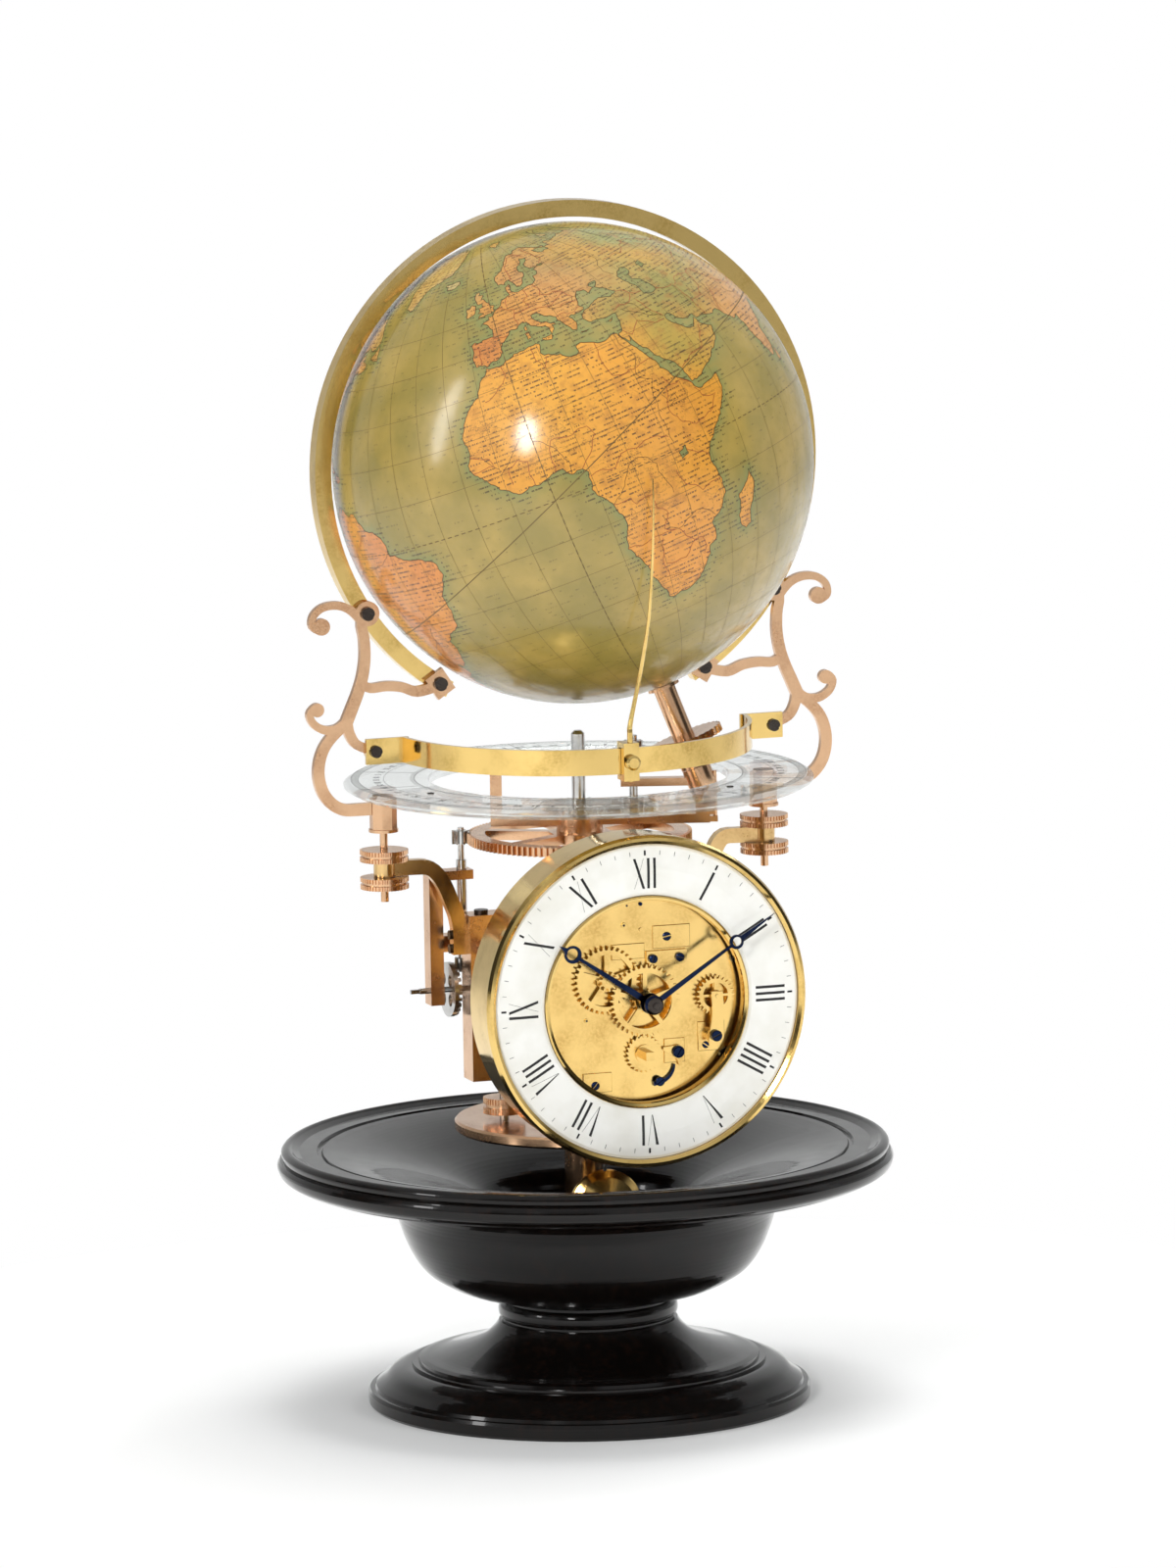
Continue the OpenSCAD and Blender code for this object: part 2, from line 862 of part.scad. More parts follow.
// Beaded nuts above and below each eye
module pillar_nut(s, z) {
  color(bronze)
    translate([s * arm_x, arm_y, z])
      knurled(10.4, 5, 1.7 + fit, 44);
}
module nut_left_upper() {
  pillar_nut(-1, 239.6);
}
module nut_left_lower() {
  pillar_nut(-1, 227.8);
}
module nut_right_upper() {
  pillar_nut(1, 243.6);
}
module nut_right_lower() {
  pillar_nut(1, 231.8);
}

// Calendar ring: flat plate glass with bevelled edges
module glass_ring() {
  color(clear_glass)
    translate([0, 0, head_z1])
      rotate_extrude($fn = 120)
        polygon([[glass_hole, 0.6], [glass_hole + 0.6, 0],
          [glass_r - 2.6, 0], [glass_r, 1.6], [glass_r, glass_t - 1.6],
          [glass_r - 2.6, glass_t], [glass_hole + 0.6, glass_t],
          [glass_hole, glass_t - 0.6]]);
}

// Scrolled bracket between pillar head, strap and hoop
module scroll(s) {
  a = [for (t = screw_angles) [-hoop_mid * sin(t),
    globe_z - 1 - hoop_mid * cos(t)]];
  color(bronze)
    translate([0, plate_y + 3, 0])
      rotate([90, 0, 0])
        linear_extrude(3)
          mirror([s > 0 ? 1 : 0, 0])
            difference() {
              union() {
                ribbon([a[1] + [0, 0.5], [-94.2, 342.6], [-93.2, 336],
                  [-93, 328], [-94.2, 320], [-96.4, 313], [-99.6, 305.5],
                  [-102.4, 299]], 4.2, 5.4);
                ribbon([[-94, 343.4], [-99, 348.6], [-105, 351],
                  [-111.4, 350.4], [-115.6, 347], [-116.2, 342.4],
                  [-112.6, 339.8]], 4, 2.6);
                translate([-112, 342.2])
                  circle(r = 3.6);
                ribbon([[-95, 317], [-91, 314.6], [-84, 315], [-77, 314.2],
                  [-70, 311.8], a[0] + [-2, -1]], 4, 4.6);
                translate(a[0])
                  rotate(33)
                    square([9, 10.6], center = true);
                translate(a[1])
                  circle(r = 5.4);
                ribbon([[-101.6, 301], [-106, 298], [-111.6, 297.8],
                  [-116.4, 300.6], [-118.2, 305], [-116, 308]], 4.4, 2.6);
                translate([-114.8, 306.6])
                  circle(r = 3);
                ribbon([[-101.6, 300.6], [-100.6, 295.6], [-97.4, 290.6],
                  [-89.8, 287.5]], 4.6, 4);
                translate([-strap_boss[0], strap_boss[1]])
                  circle(r = 4.2);
                ribbon([[-102, 300], [-107.6, 295.4], [-111.8, 290.4],
                  [-114.2, 284.2], [-114.6, 277.4], [-112.8, 270.8],
                  [-109, 265.8], [-104, 263], [-98, 262.6], [-91.5, 262.6]],
                  4.6, 5.4);
              }
              for (p = a)
                translate(p)
                  circle(r = 1.5 + fit);
              translate([-strap_boss[0], strap_boss[1]])
                circle(r = 1.2 + fit);
            }
}
module bracket_left() {
  scroll(-1);
}
module bracket_right() {
  scroll(1);
}

// Brass hoop round the globe, open at the bottom
module hoop() {
  color(brass)
    translate([0, hoop_y + hoop_w, globe_z - 1])
      rotate([90, 0, 0])
        linear_extrude(hoop_w)
          difference() {
            circle(r = hoop_out, $fn = 144);
            circle(r = hoop_in, $fn = 144);
            polygon([[0, 0], 300 * [-sin(30), -cos(30)],
              300 * [sin(30), -cos(30)]]);
            for (s = [-1, 1], t = screw_angles)
              translate(hoop_mid * [s * sin(t), -cos(t)])
                circle(r = 1.5 + fit);
          }
}

// Curved strap in front of the globe's foot, with a lug at each end
module strap() {
  h = strap_z1 - strap_z0;
  color(brass)
    difference() {
      translate([0, 0, strap_z0])
        linear_extrude(h) {
          difference() {
            translate([0, strap_cy])
              circle(r = strap_r + 1, $fn = 120);
            translate([0, strap_cy])
              circle(r = strap_r - 1, $fn = 120);
            translate([-200, 3])
              square([400, 400]);
          }
          for (s = [-1, 1])
            translate([s > 0 ? strap_r - 2 : -94, 3])
              square([94 - strap_r + 2, 2]);
        }
      for (x = [-strap_boss[0], strap_boss[0]])
        translate([x, 6, strap_boss[1]])
          rotate([90, 0, 0])
            cylinder(h = 6, r = 1.2 + fit);
    }
}

// Screws of the hoop, the strap and the arms
module frame_screws() {
  color(dark_steel) {
    for (s = [-1, 1], t = screw_angles) {
      x = s * hoop_mid * sin(t);
      z = globe_z - 1 - hoop_mid * cos(t);
      slotted_head_y(x, z, plate_y, 2.9, 1.6);
      translate([x, hoop_y + hoop_w - 1, z])
        rotate([90, 0, 0])
          cylinder(h = hoop_y + hoop_w - 1 - plate_y, r = 1.5);
    }
    for (x = [-strap_boss[0], strap_boss[0]]) {
      slotted_head_y(x, strap_boss[1], 3, 2.6, 1.5);
      translate([x, plate_y + 3, strap_boss[1]])
        rotate([90, 0, 0])
          cylinder(h = plate_y, r = 1.2);
    }
    for (s = [-1, 1], z = [199.5, 205.5])
      translate([s * (yoke_w + 6.4), arm_y, z])
        rotate([0, 90 * s, 0])
          cylinder(h = 1.3, r = 2);
    for (s = [-1, 1])
      translate([s * 43, 6.5, yoke_z1 + 6])
        cylinder(h = 1.6, r = 3);
    rod_y([30.9, -16.8], -85.6, -87, 2.4);
    for (x = [4.6, 16.6])
      rod_y([x, 17.4], -81.6, -82.6, 1.9);
    for (a = pillar_angles)
      rod_y(45 * [cos(a), sin(a)], front_face, front_face - 1.2, 2.6);
  }
}

// Clamp that rides on the strap
module index_clamp() {
  y = strap_cy - strap_r - 1;
  color(brass)
    difference() {
      translate([clamp_x - 3.4, y - 4, strap_z0 - 2.6])
        cube([6.8, 9, strap_z1 - strap_z0 + 5.2]);
      translate([clamp_x - 6, y - 0.35, strap_z0 - 0.3])
        cube([12, 2.8, strap_z1 - strap_z0 + 0.6]);
      translate([clamp_x - 6, y + 2.3, strap_z0 + 2])
        cube([12, 8, strap_z1 - strap_z0 - 4]);
      translate([clamp_x, y - 2.2, 270])
        cylinder(h = 40, r = 1.2 + fit);
      translate([clamp_x, y + 1, 287.5])
        rotate([90, 0, 0])
          cylinder(h = 10, r = 1 + fit);
    }
}

// Bent wire that points to the place on the globe under the sun
function wire_pts() = let (y = strap_cy - strap_r - 3.2) curve([
  [y, 279], [y, 290], [y, 300], [y, 302], [-73, 307.4], [-78, 315.4],
  [-88, 332],
  [-98, 353], [-104, 378], [-106.4, 400], [-106.2, 412.5]]);
module index_pointer() {
  p = wire_pts();
  n = len(p) - 1;
  k = 12;
  rings = [for (i = [0:n]) let (d = side(p, i), r = wire_r(i, n))
    [for (a = [0:k - 1]) [clamp_x + r * cos(360 / k * a),
      p[i][0] + r * sin(360 / k * a) * d[0],
      p[i][1] + r * sin(360 / k * a) * d[1]]]];
  color(brass)
    polyhedron(
      points = [for (q = rings) each q],
      faces = concat(
        [[for (a = [k - 1:-1:0]) a]],
        [for (i = [0:n - 1], a = [0:k - 1])
          [i * k + a, (i + 1) * k + (a + 1) % k, (i + 1) * k + a]],
        [for (i = [0:n - 1], a = [0:k - 1])
          [i * k + a, i * k + (a + 1) % k, (i + 1) * k + (a + 1) % k]],
        [[for (a = [0:k - 1]) n * k + a]]));
}
function wire_r(i, n) = 1.2 - 0.85 * max(0, i / n - 0.25) / 0.75;

module clamp_screw() {
  y = strap_cy - strap_r - 4.55;
  color(brass) {
    translate([clamp_x, y, 287.5])
      rotate([90, 0, 0])
        cylinder(h = 2, r = 1);
    translate([clamp_x, y - 0.9, 287.5])
      rotate([90, 0, 0])
        cylinder(h = 2.2, r = 3.2);
    translate([clamp_x, y - 3.1, 287.5])
      rotate([90, 0, 0])
        cylinder(h = 0.9, r1 = 3.2, r2 = 2.2);
  }
}

// Bracket behind the yoke: bearings of the upright and the setting arbor
module arbor_bracket() {
  x = drive_xy[0];
  y = drive_xy[1];
  color(bronze)
    difference() {
      translate([0, yoke_d, 0]) {
        translate([x - 16, 0, 174])
          cube([6, 8.4, 58]);
        translate([x - 16, 0, 197])
          cube([23, 8.4, 7]);
        translate([x - 16, 0, 228])
          cube([20, 8.4, 4]);
        translate([x + 4.4, 0, 174])
          cube([2.6, 8.4, 30]);
      }
      translate([x, y, 190])
        cylinder(h = 60, r = 2.25 + fit);
      rod_x(-80, -30, y, set_z, 1.25 + fit);
    }
}

// Upright arbor that drives the year wheel
module drive_arbor() {
  x = drive_xy[0];
  y = drive_xy[1];
  a = atan2(y, x);
  color(steel)
    translate([x, y, 0]) {
      translate([0, 0, 187.4])
        cylinder(h = 236 - 187.4, r = 2.25);
      translate([0, 0, 236])
        cylinder(h = 14, r = 1.4);
      translate([0, 0, annual_z - 0.7])
        linear_extrude(annual_t + 1.6)
          toothed(drive_pn, annual_m, a + 180 + 180 / drive_pn);
      translate([0, 0, 188.4])
        linear_extrude(5)
          toothed(8, 0.8, 0);
    }
}

// Setting arbor with its contrate wheel and square end
module setting_arbor() {
  y = drive_xy[1];
  color(steel) {
    rod_x(-68, -34, y, set_z, 1.25);
    translate([-72, y - 0.85, set_z - 0.85])
      cube([5, 1.7, 1.7]);
  }
  color(gilt)
    translate([set_x, y, set_z])
      rotate([0, 90, 0]) {
        translate([0, 0, -1.8])
          difference() {
            cylinder(h = 1.8, r = 11.8);
            for (i = [0:3])
              rotate(90 * i + 45)
                translate([6, 0, -1])
                  cylinder(h = 4, r = 2.6);
          }
        linear_extrude(1.4)
          difference() {
            circle(r = 11.5);
            circle(r = 9.6);
            for (i = [0:23])
              rotate(15 * i + 7.5)
                translate([9, -0.75])
                  square([6, 1.5]);
          }
      }
}

// Year wheel with fine teeth and crossed out, turning on the fixed post
module annual_wheel() {
  a = atan2(drive_xy[1], drive_xy[0]);
  color(bronze)
    difference() {
      union() {
        translate([0, 0, annual_z])
          linear_extrude(annual_t)
            crossed_wheel(annual_n, annual_m, a, 6, 13, 6);
        translate([0, 0, annual_z + annual_t])
          cylinder(h = bar_z0 - annual_z - annual_t, r = 10);
      }
      translate([0, 0, annual_z - 1])
        cylinder(h = 20, r = post_r + fit);
    }
}

// Frame placed along the carrier's direction
module along() {
  rotate(carrier_a)
    children();
}

// Frame of the tilted arbor: z runs up through the centre of the globe
module tilted() {
  translate([0, 0, globe_z])
    rotate(carrier_a)
      rotate([0, -globe_tilt, 0])
        children();
}

// Revolving carrier: bar, posts and the inclined bearing
module carrier() {
  color(bronze)
    difference() {
      union() {
        along() {
          translate([-38, -4.5, bar_z0])
            cube([94, 9, bar_z1 - bar_z0]);
          translate([-38, -4.5, bar_z1 - 0.5])
            cube([5, 9, 20]);
          translate([50, -4.5, bar_z1 - 0.5])
            cube([8, 9, 12]);
          translate([18, -3, 267])
            cube([34, 6, 3.4]);
          translate([0, 0, bar_z0])
            cylinder(h = bar_z1 - bar_z0, r = 10);
          translate([58.3, 0, bar_z0])
            cylinder(h = 22, r = 0.9);
          translate([54, -2, bar_z0])
            cube([5.4, 4, 2.4]);
        }
        tilted()
          translate([0, 0, -155])
            cylinder(h = 13.5, r = 6.2);
      }
      translate([0, 0, bar_z0 - 1])
        cylinder(h = 7, r = post_r + fit);
      along()
        translate([crown_s, 0, bar_z0 - 1])
          cylinder(h = 30, r = crown_r + fit);
      tilted()
        translate([0, 0, -153.2])
          cylinder(h = 30, r = 2.5 + fit);
    }
}

// Central shaft with the day wheel
module day_shaft() {
  color(steel)
    translate([0, 0, 206])
      cylinder(h = 84, r = day_r);
  color(steel)
    translate([0, 0, 290])
      cylinder(h = 1.4, r1 = day_r, r2 = 1.6);
  color(gilt)
    translate([0, 0, 257])
      linear_extrude(3)
        toothed(day_n, day_m, carrier_a);
}

// Second shaft: pinion below, crown pinion above
module crown_shaft() {
  color(steel)
    along()
      translate([crown_s, 0, 0]) {
        translate([0, 0, bar_z0 + 0.3])
          cylinder(h = 288.6 - bar_z0, r = crown_r);
        translate([0, 0, 256.2])
          linear_extrude(4.6)
            toothed(crown_pn, day_m, 180 + 180 / crown_pn);
        translate([0, 0, 282.6])
          linear_extrude(4)
            polygon(rim_points(crown_tn, 4.2, 3, 0.3, 0.16));
      }
}

// Globe: hollow shell with a hole for its arbor at the lower pole
module globe() {
  color(map_gold)
    tilted()
      difference() {
        sphere(r = globe_r, $fn = 120);
        sphere(r = globe_r - 2.5, $fn = 96);
        translate([0, 0, -globe_r - 5])
          cylinder(h = 30, r = 3.2);
      }
}

// Tilted arbor with the flange, sleeve, wheel and lower pivot
module globe_arbor() {
  color(brass)
    tilted() {
      translate([0, 0, -128])
        cylinder(h = 128 + globe_r - 2.7, r = 3.15);
      translate([0, 0, -128])
        cylinder(h = 128 - globe_r - 1.4, r = 4.75);
      translate([0, 0, -globe_r - 1.6])
        cylinder(h = 1.3, r = 7);
      translate([0, 0, wheel_local - 1.6])
        linear_extrude(3.2)
          polygon(rim_points(globe_wn, 16.8, 15.6, 0.3, 0.16));
      translate([0, 0, -139])
        cylinder(h = 9, r = 5.4);
      translate([0, 0, -141])
        cylinder(h = 3, r = 6.4);
    }
  color(steel)
    tilted()
      translate([0, 0, -153])
        cylinder(h = 14, r = 2.5);
}

foot();
bowl();
tie_bolt();
column();
platform();
yoke();
bridge();
spacers();
back_plate();
front_plate();
plate_pillars();
dial_drum();
chapter_ring();
arm_left();
arm_right();
pillar_left();
pillar_right();
glass_ring();
bracket_left();
bracket_right();
hoop();
strap();
frame_screws();
arbor_bracket();
front_cock();
click_spring();
suspension_cock();
level_spindles();
index_clamp();
index_pointer();
clamp_screw();
level_nut_left();
level_nut_right();
nut_left_upper();
nut_left_lower();
nut_right_upper();
nut_right_lower();
centre_wheel();
minute_hand();
hour_wheel();
hour_hand();
motion_wheel();
barrel();
winding_ratchet();
click();
third_wheel();
takeoff_wheel();
escape_wheel();
pallets();
pendulum_rod();
pendulum_bob();
rating_nut();
annual_wheel();
carrier();
drive_arbor();
setting_arbor();
day_shaft();
crown_shaft();
globe();
globe_arbor();
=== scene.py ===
"""Looks of an astronomical mantel clock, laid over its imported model."""

import logging
import math
import random
from dataclasses import dataclass, field
from enum import Enum
from functools import partial
from typing import Iterable, Sequence

import bmesh
import bpy
from mathutils import Matrix, Vector
from mathutils.geometry import delaunay_2d_cdt
from mathutils.kdtree import KDTree


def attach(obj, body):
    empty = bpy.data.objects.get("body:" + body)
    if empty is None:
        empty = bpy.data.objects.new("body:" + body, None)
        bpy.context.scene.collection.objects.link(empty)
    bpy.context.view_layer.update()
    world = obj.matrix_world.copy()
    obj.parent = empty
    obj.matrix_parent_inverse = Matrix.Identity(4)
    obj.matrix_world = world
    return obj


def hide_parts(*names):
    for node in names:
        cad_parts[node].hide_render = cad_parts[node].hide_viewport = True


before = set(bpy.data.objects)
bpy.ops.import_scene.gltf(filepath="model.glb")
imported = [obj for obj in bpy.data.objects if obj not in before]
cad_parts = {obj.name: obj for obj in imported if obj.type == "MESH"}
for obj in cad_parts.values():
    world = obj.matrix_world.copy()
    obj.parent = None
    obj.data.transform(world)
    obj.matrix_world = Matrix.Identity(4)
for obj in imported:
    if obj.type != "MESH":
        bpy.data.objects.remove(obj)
LOG = logging.getLogger("clock")
MM = 0.001
DIAL_Z = 187 * MM
GLOBE_Z = 407 * MM
GLOBE_R = 103 * MM
CARRIER_TURN = math.radians(-18.3)
GLOBE_TILT = math.radians(20.8)
GLOBE_TURN = Matrix.Rotation(CARRIER_TURN, 4, "Z") @ Matrix.Rotation(-GLOBE_TILT, 4, "Y")
ENAMEL_Y = 84.5
GLASS_TOP = 272.0
WEST_EDGE = -169
MONTH_DAYS = (31, 28, 31, 30, 31, 30, 31, 31, 30, 31, 30, 31)


class Scale(Enum):
    """Sizes of the spots of wear on metal, in millimetres."""

    GRAIN = 1.2
    CLOUD = 14.0


def linear(code: str) -> tuple[float, float, float, float]:
    """Turns an sRGB hex colour to the linear values that shaders use.

    Args:
        code: Six hex digits after a hash.

    Returns:
        Red, green, blue and an alpha of one.
    """
    parts = [int(code[i : i + 2], 16) / 255 for i in (1, 3, 5)]
    red, green, blue = (p / 12.92 if p <= 0.04045 else ((p + 0.055) / 1.055) ** 2.4 for p in parts)
    return (red, green, blue, 1.0)


def add_node(
    tree: bpy.types.NodeTree, kind: str, settings: dict[str, object] | None = None, **inputs: object
) -> bpy.types.Node:
    """Adds a node with its settings and links.

    Args:
        tree: Tree that gets the node.
        kind: Blender's name of the node type.
        settings: Properties of the node.
        inputs: Values or sockets by input name, or by i and an index.

    Returns:
        The new node.
    """
    node = tree.nodes.new(kind)
    for key, value in (settings or {}).items():
        setattr(node, key, value)
    for key, value in inputs.items():
        index = key[1:]
        socket = node.inputs[int(index) if index.isdigit() else key.replace("_", " ")]
        if isinstance(value, bpy.types.NodeSocket):
            tree.links.new(value, socket)
        else:
            socket.default_value = value
    return node


def calc(tree: bpy.types.NodeTree, operation: str, *values: object) -> bpy.types.NodeSocket:
    """Adds one math node.

    Args:
        tree: Tree that gets the node.
        operation: Name of the operation.
        values: Up to three values or sockets.

    Returns:
        The result's socket.
    """
    inputs = {f"i{number}": value for number, value in enumerate(values)}
    return add_node(tree, "ShaderNodeMath", {"operation": operation}, **inputs).outputs[0]


def shown(name: str, data: bpy.types.ID) -> bpy.types.Object:
    """Puts a mesh, text, lamp or camera in the scene as an object."""
    obj = bpy.data.objects.new(name, data)
    bpy.context.scene.collection.objects.link(obj)
    return obj


def shaped(name: str, shape: bmesh.types.BMesh) -> bpy.types.Object:
    """Puts a finished edit mesh in the scene as an object."""
    mesh = bpy.data.meshes.new(name)
    shape.to_mesh(mesh)
    shape.free()
    return shown(name, mesh)


def sheathe(shape: bmesh.types.BMesh, rings: list[list[bmesh.types.BMVert]], closed: bool = False) -> None:
    """Joins rings of corners into a solid.

    Args:
        shape: Mesh that the solid is added to.
        rings: The corners of each ring, in order.
        closed: Whether the last ring joins the first, instead of each having an end face.
    """
    for a, b in zip(rings, rings[1:] + rings[:1] if closed else rings[1:]):
        for k in range(len(a)):
            j = (k + 1) % len(a)
            shape.faces.new((a[k], a[j], b[j], b[k]))
    if not closed:
        shape.faces.new(rings[0])
        shape.faces.new(rings[-1])


def opened_group(name: str, sockets: dict[str, str]) -> tuple[bpy.types.NodeTree, bpy.types.NodeOutputs]:
    """Starts a geometry node group.

    Args:
        name: Name of the group.
        sockets: Type of each input, without its common prefix, by name.

    Returns:
        The group and its input values.
    """
    tree = bpy.data.node_groups.new(name, "GeometryNodeTree")
    tree.interface.new_socket("Geometry", in_out="OUTPUT", socket_type="NodeSocketGeometry")
    for label, kind in sockets.items():
        tree.interface.new_socket(label, in_out="INPUT", socket_type="NodeSocket" + kind)
    return tree, tree.nodes.new("NodeGroupInput").outputs


def closed_group(
    tree: bpy.types.NodeTree, laid: bpy.types.NodeSocket, material: bpy.types.NodeSocket
) -> bpy.types.NodeTree:
    """Ends a geometry node group with real, painted geometry.

    Args:
        tree: The node group.
        laid: The geometry that it made.
        material: The finish that it was given.

    Returns:
        The finished group.
    """
    real = add_node(tree, "GeometryNodeRealizeInstances", Geometry=laid)
    painted = add_node(tree, "GeometryNodeSetMaterial", Geometry=real.outputs[0], Material=material)
    tree.links.new(painted.outputs[0], tree.nodes.new("NodeGroupOutput").inputs[0])
    return tree


def grown(
    name: str, group: bpy.types.NodeTree, values: dict[str, object], base: bpy.types.Mesh | None = None
) -> bpy.types.Object:
    """Runs a geometry node group once and keeps its result as a plain mesh.

    Args:
        name: Name of the result's object.
        group: The node group.
        values: Value of each named input.
        base: Mesh that the group starts from.

    Returns:
        The object with the finished mesh.
    """
    holder = shown(name + "_maker", base or bpy.data.meshes.new(name + "_base"))
    modifier = holder.modifiers.new("maker", "NODES")
    modifier.node_group = group
    sockets = {i.name: i.identifier for i in group.interface.items_tree if i.in_out == "INPUT"}
    for key, value in values.items():
        modifier[sockets[key]] = value
    shape = bpy.data.meshes.new_from_object(holder.evaluated_get(bpy.context.evaluated_depsgraph_get()))
    shape.name = name
    bpy.data.objects.remove(holder)
    return shown(name, shape)


class Shader:
    """A material's node tree while it is built."""

    def __init__(self, name: str) -> None:
        """Starts a material with one Principled shader.

        Args:
            name: Name of the material.
        """
        self.material = bpy.data.materials.new(name)
        self.material.use_nodes = True
        self.tree = self.material.node_tree
        self.bsdf = self.tree.nodes["Principled BSDF"]
        self._space: bpy.types.NodeSocket | None = None

    def add(self, kind: str, settings: dict[str, object] | None = None, **inputs: object) -> bpy.types.Node:
        """Adds a node to this material's tree."""
        return add_node(self.tree, kind, settings, **inputs)

    def space(self) -> bpy.types.NodeSocket:
        """Gives the object coordinates, in metres."""
        if self._space is None:
            self._space = self.add("ShaderNodeTexCoord").outputs["Object"]
        return self._space

    def noise(
        self, size_mm: float, detail: float = 3.0, stretch: Sequence[float] = (1, 1, 1)
    ) -> bpy.types.NodeSocket:
        """Makes a noise value whose spots are about a given size.

        Args:
            size_mm: Size of a spot in millimetres.
            detail: Octaves of the noise.
            stretch: Factors on the three axes before the noise.

        Returns:
            The noise's value socket.
        """
        placed = self.add("ShaderNodeMapping", Vector=self.space(), Scale=tuple(stretch))
        scale = 1 / (size_mm * MM)
        made = self.add("ShaderNodeTexNoise", Vector=placed.outputs[0], Scale=scale, Detail=detail)
        return made.outputs[0]

    def math(self, operation: str, a: object, b: object = 0.0, c: object = 0.0) -> bpy.types.NodeSocket:
        """Works out a value from up to three others.

        Args:
            operation: Name of the operation.
            a: First value or socket.
            b: Second value or socket.
            c: Third value or socket.

        Returns:
            The result's socket.
        """
        return calc(self.tree, operation, a, b, c)

    def spread(
        self, value: object, low: float, high: float, to_low: float, to_high: float
    ) -> bpy.types.NodeSocket:
        """Maps a value from one range to another, held at the ends.

        Args:
            value: The value to map.
            low: Start of its range.
            high: End of its range.
            to_low: Result at the start.
            to_high: Result at the end.

        Returns:
            The result's socket.
        """
        made = self.add("ShaderNodeMapRange", Value=value)
        for name, number in zip(("From Min", "From Max", "To Min", "To Max"), (low, high, to_low, to_high)):
            made.inputs[name].default_value = number
        return made.outputs[0]

    def blend(self, factor: object, first: object, second: object) -> bpy.types.NodeSocket:
        """Mixes two colours.

        Args:
            factor: Share of the second colour.
            first: Hex code or socket of the first.
            second: Hex code or socket of the second.

        Returns:
            The mixed colour's socket.
        """
        pair = [linear(c) if isinstance(c, str) else c for c in (first, second)]
        made = self.add("ShaderNodeMix", {"data_type": "RGBA"}, i0=factor, i6=pair[0], i7=pair[1])
        return made.outputs[2]

    def bump(self, height: object, depth_mm: float, strength: float = 1.0) -> None:
        """Gives the shader a bump of a real depth.

        Args:
            height: Height socket, from zero to one.
            depth_mm: Depth in millimetres.
            strength: Strength of the bump.
        """
        made = self.add("ShaderNodeBump", Height=height, Distance=depth_mm * MM, Strength=strength)
        self.tree.links.new(made.outputs[0], self.bsdf.inputs["Normal"])

    def feed(self, **inputs: object) -> None:
        """Sets inputs of the Principled shader.

        Args:
            inputs: Values or sockets by input name.
        """
        for key, value in inputs.items():
            socket = self.bsdf.inputs[key.replace("_", " ")]
            if isinstance(value, bpy.types.NodeSocket):
                self.tree.links.new(value, socket)
            elif isinstance(value, str):
                socket.default_value = linear(value)
            else:
                socket.default_value = value


@dataclass(frozen=True)
class TurnedMetal:
    """Bare or lacquered metal with fine tool lines.

    Attributes:
        name: Common name of the metal and its surface.
        colour: Main colour.
        toned: Colour where it has darkened.
        rough: Lowest roughness.
        rougher: Highest roughness.
        line_mm: Spacing of the tool lines.
        line_depth: Depth of the tool lines in millimetres.
        coat: Weight of the lacquer.
    """

    name: str
    colour: str
    toned: str
    rough: float = 0.16
    rougher: float = 0.34
    line_mm: float = 0.35
    line_depth: float = 0.004
    coat: float = 0.0

    def build(self) -> bpy.types.Material:
        """Builds the material."""
        s = Shader(self.name)
        cloud = s.noise(Scale.CLOUD.value, 4)
        spots = s.noise(Scale.GRAIN.value, 5)
        worn = s.math("MULTIPLY", s.spread(cloud, 0.45, 0.75, 0, 0.8), s.spread(spots, 0.35, 0.6, 0.3, 1))
        shine = s.math("ADD", cloud, s.math("MULTIPLY", spots, 0.5))
        s.feed(
            Base_Color=s.blend(worn, self.colour, self.toned),
            Metallic=1.0,
            Roughness=s.spread(shine, 0.5, 1.0, self.rough, self.rougher),
        )
        if self.coat:
            s.feed(Coat_Weight=self.coat, Coat_Roughness=0.08)
        lines = s.noise(self.line_mm, 2, (1, 1, 0.06))
        s.bump(lines, self.line_depth, 0.6)
        return s.material


@dataclass(frozen=True)
class EbonisedWood:
    """Turned pear wood, stained black and French polished.

    The polish gives a deep mirror gloss, with the faintest rings of the lathe.
    """

    name: str = "ebonised pear wood, French polished"
    colour: str = "#0b0908"
    warm: str = "#1c110c"

    def build(self) -> bpy.types.Material:
        """Builds the material."""
        s = Shader(self.name)
        grain = s.noise(2.5, 6, (1, 1, 0.12))
        s.feed(
            Base_Color=s.blend(s.spread(grain, 0.5, 0.75, 0, 1), self.colour, self.warm),
            Roughness=s.spread(s.noise(9, 4), 0.35, 0.7, 0.12, 0.2),
            Specular_IOR_Level=0.16,
            Coat_Weight=0.4,
            Coat_Roughness=0.03,
            Coat_IOR=1.45,
        )
        s.bump(s.noise(1.2, 3, (0.25, 0.25, 4)), 0.012, 0.35)
        return s.material


@dataclass(frozen=True)
class Enamel:
    """White enamel fired on copper: glassy, very slightly uneven."""

    name: str = "white fired enamel"
    colour: str = "#f0efe9"
    shade: str = "#e4e2d8"

    def build(self) -> bpy.types.Material:
        """Builds the material."""
        s = Shader(self.name)
        s.feed(
            Base_Color=s.blend(s.spread(s.noise(18, 3), 0.4, 0.7, 0, 1), self.colour, self.shade),
            Roughness=0.12,
            Coat_Weight=0.6,
            Coat_Roughness=0.04,
        )
        s.bump(s.noise(7, 2), 0.02, 0.25)
        return s.material


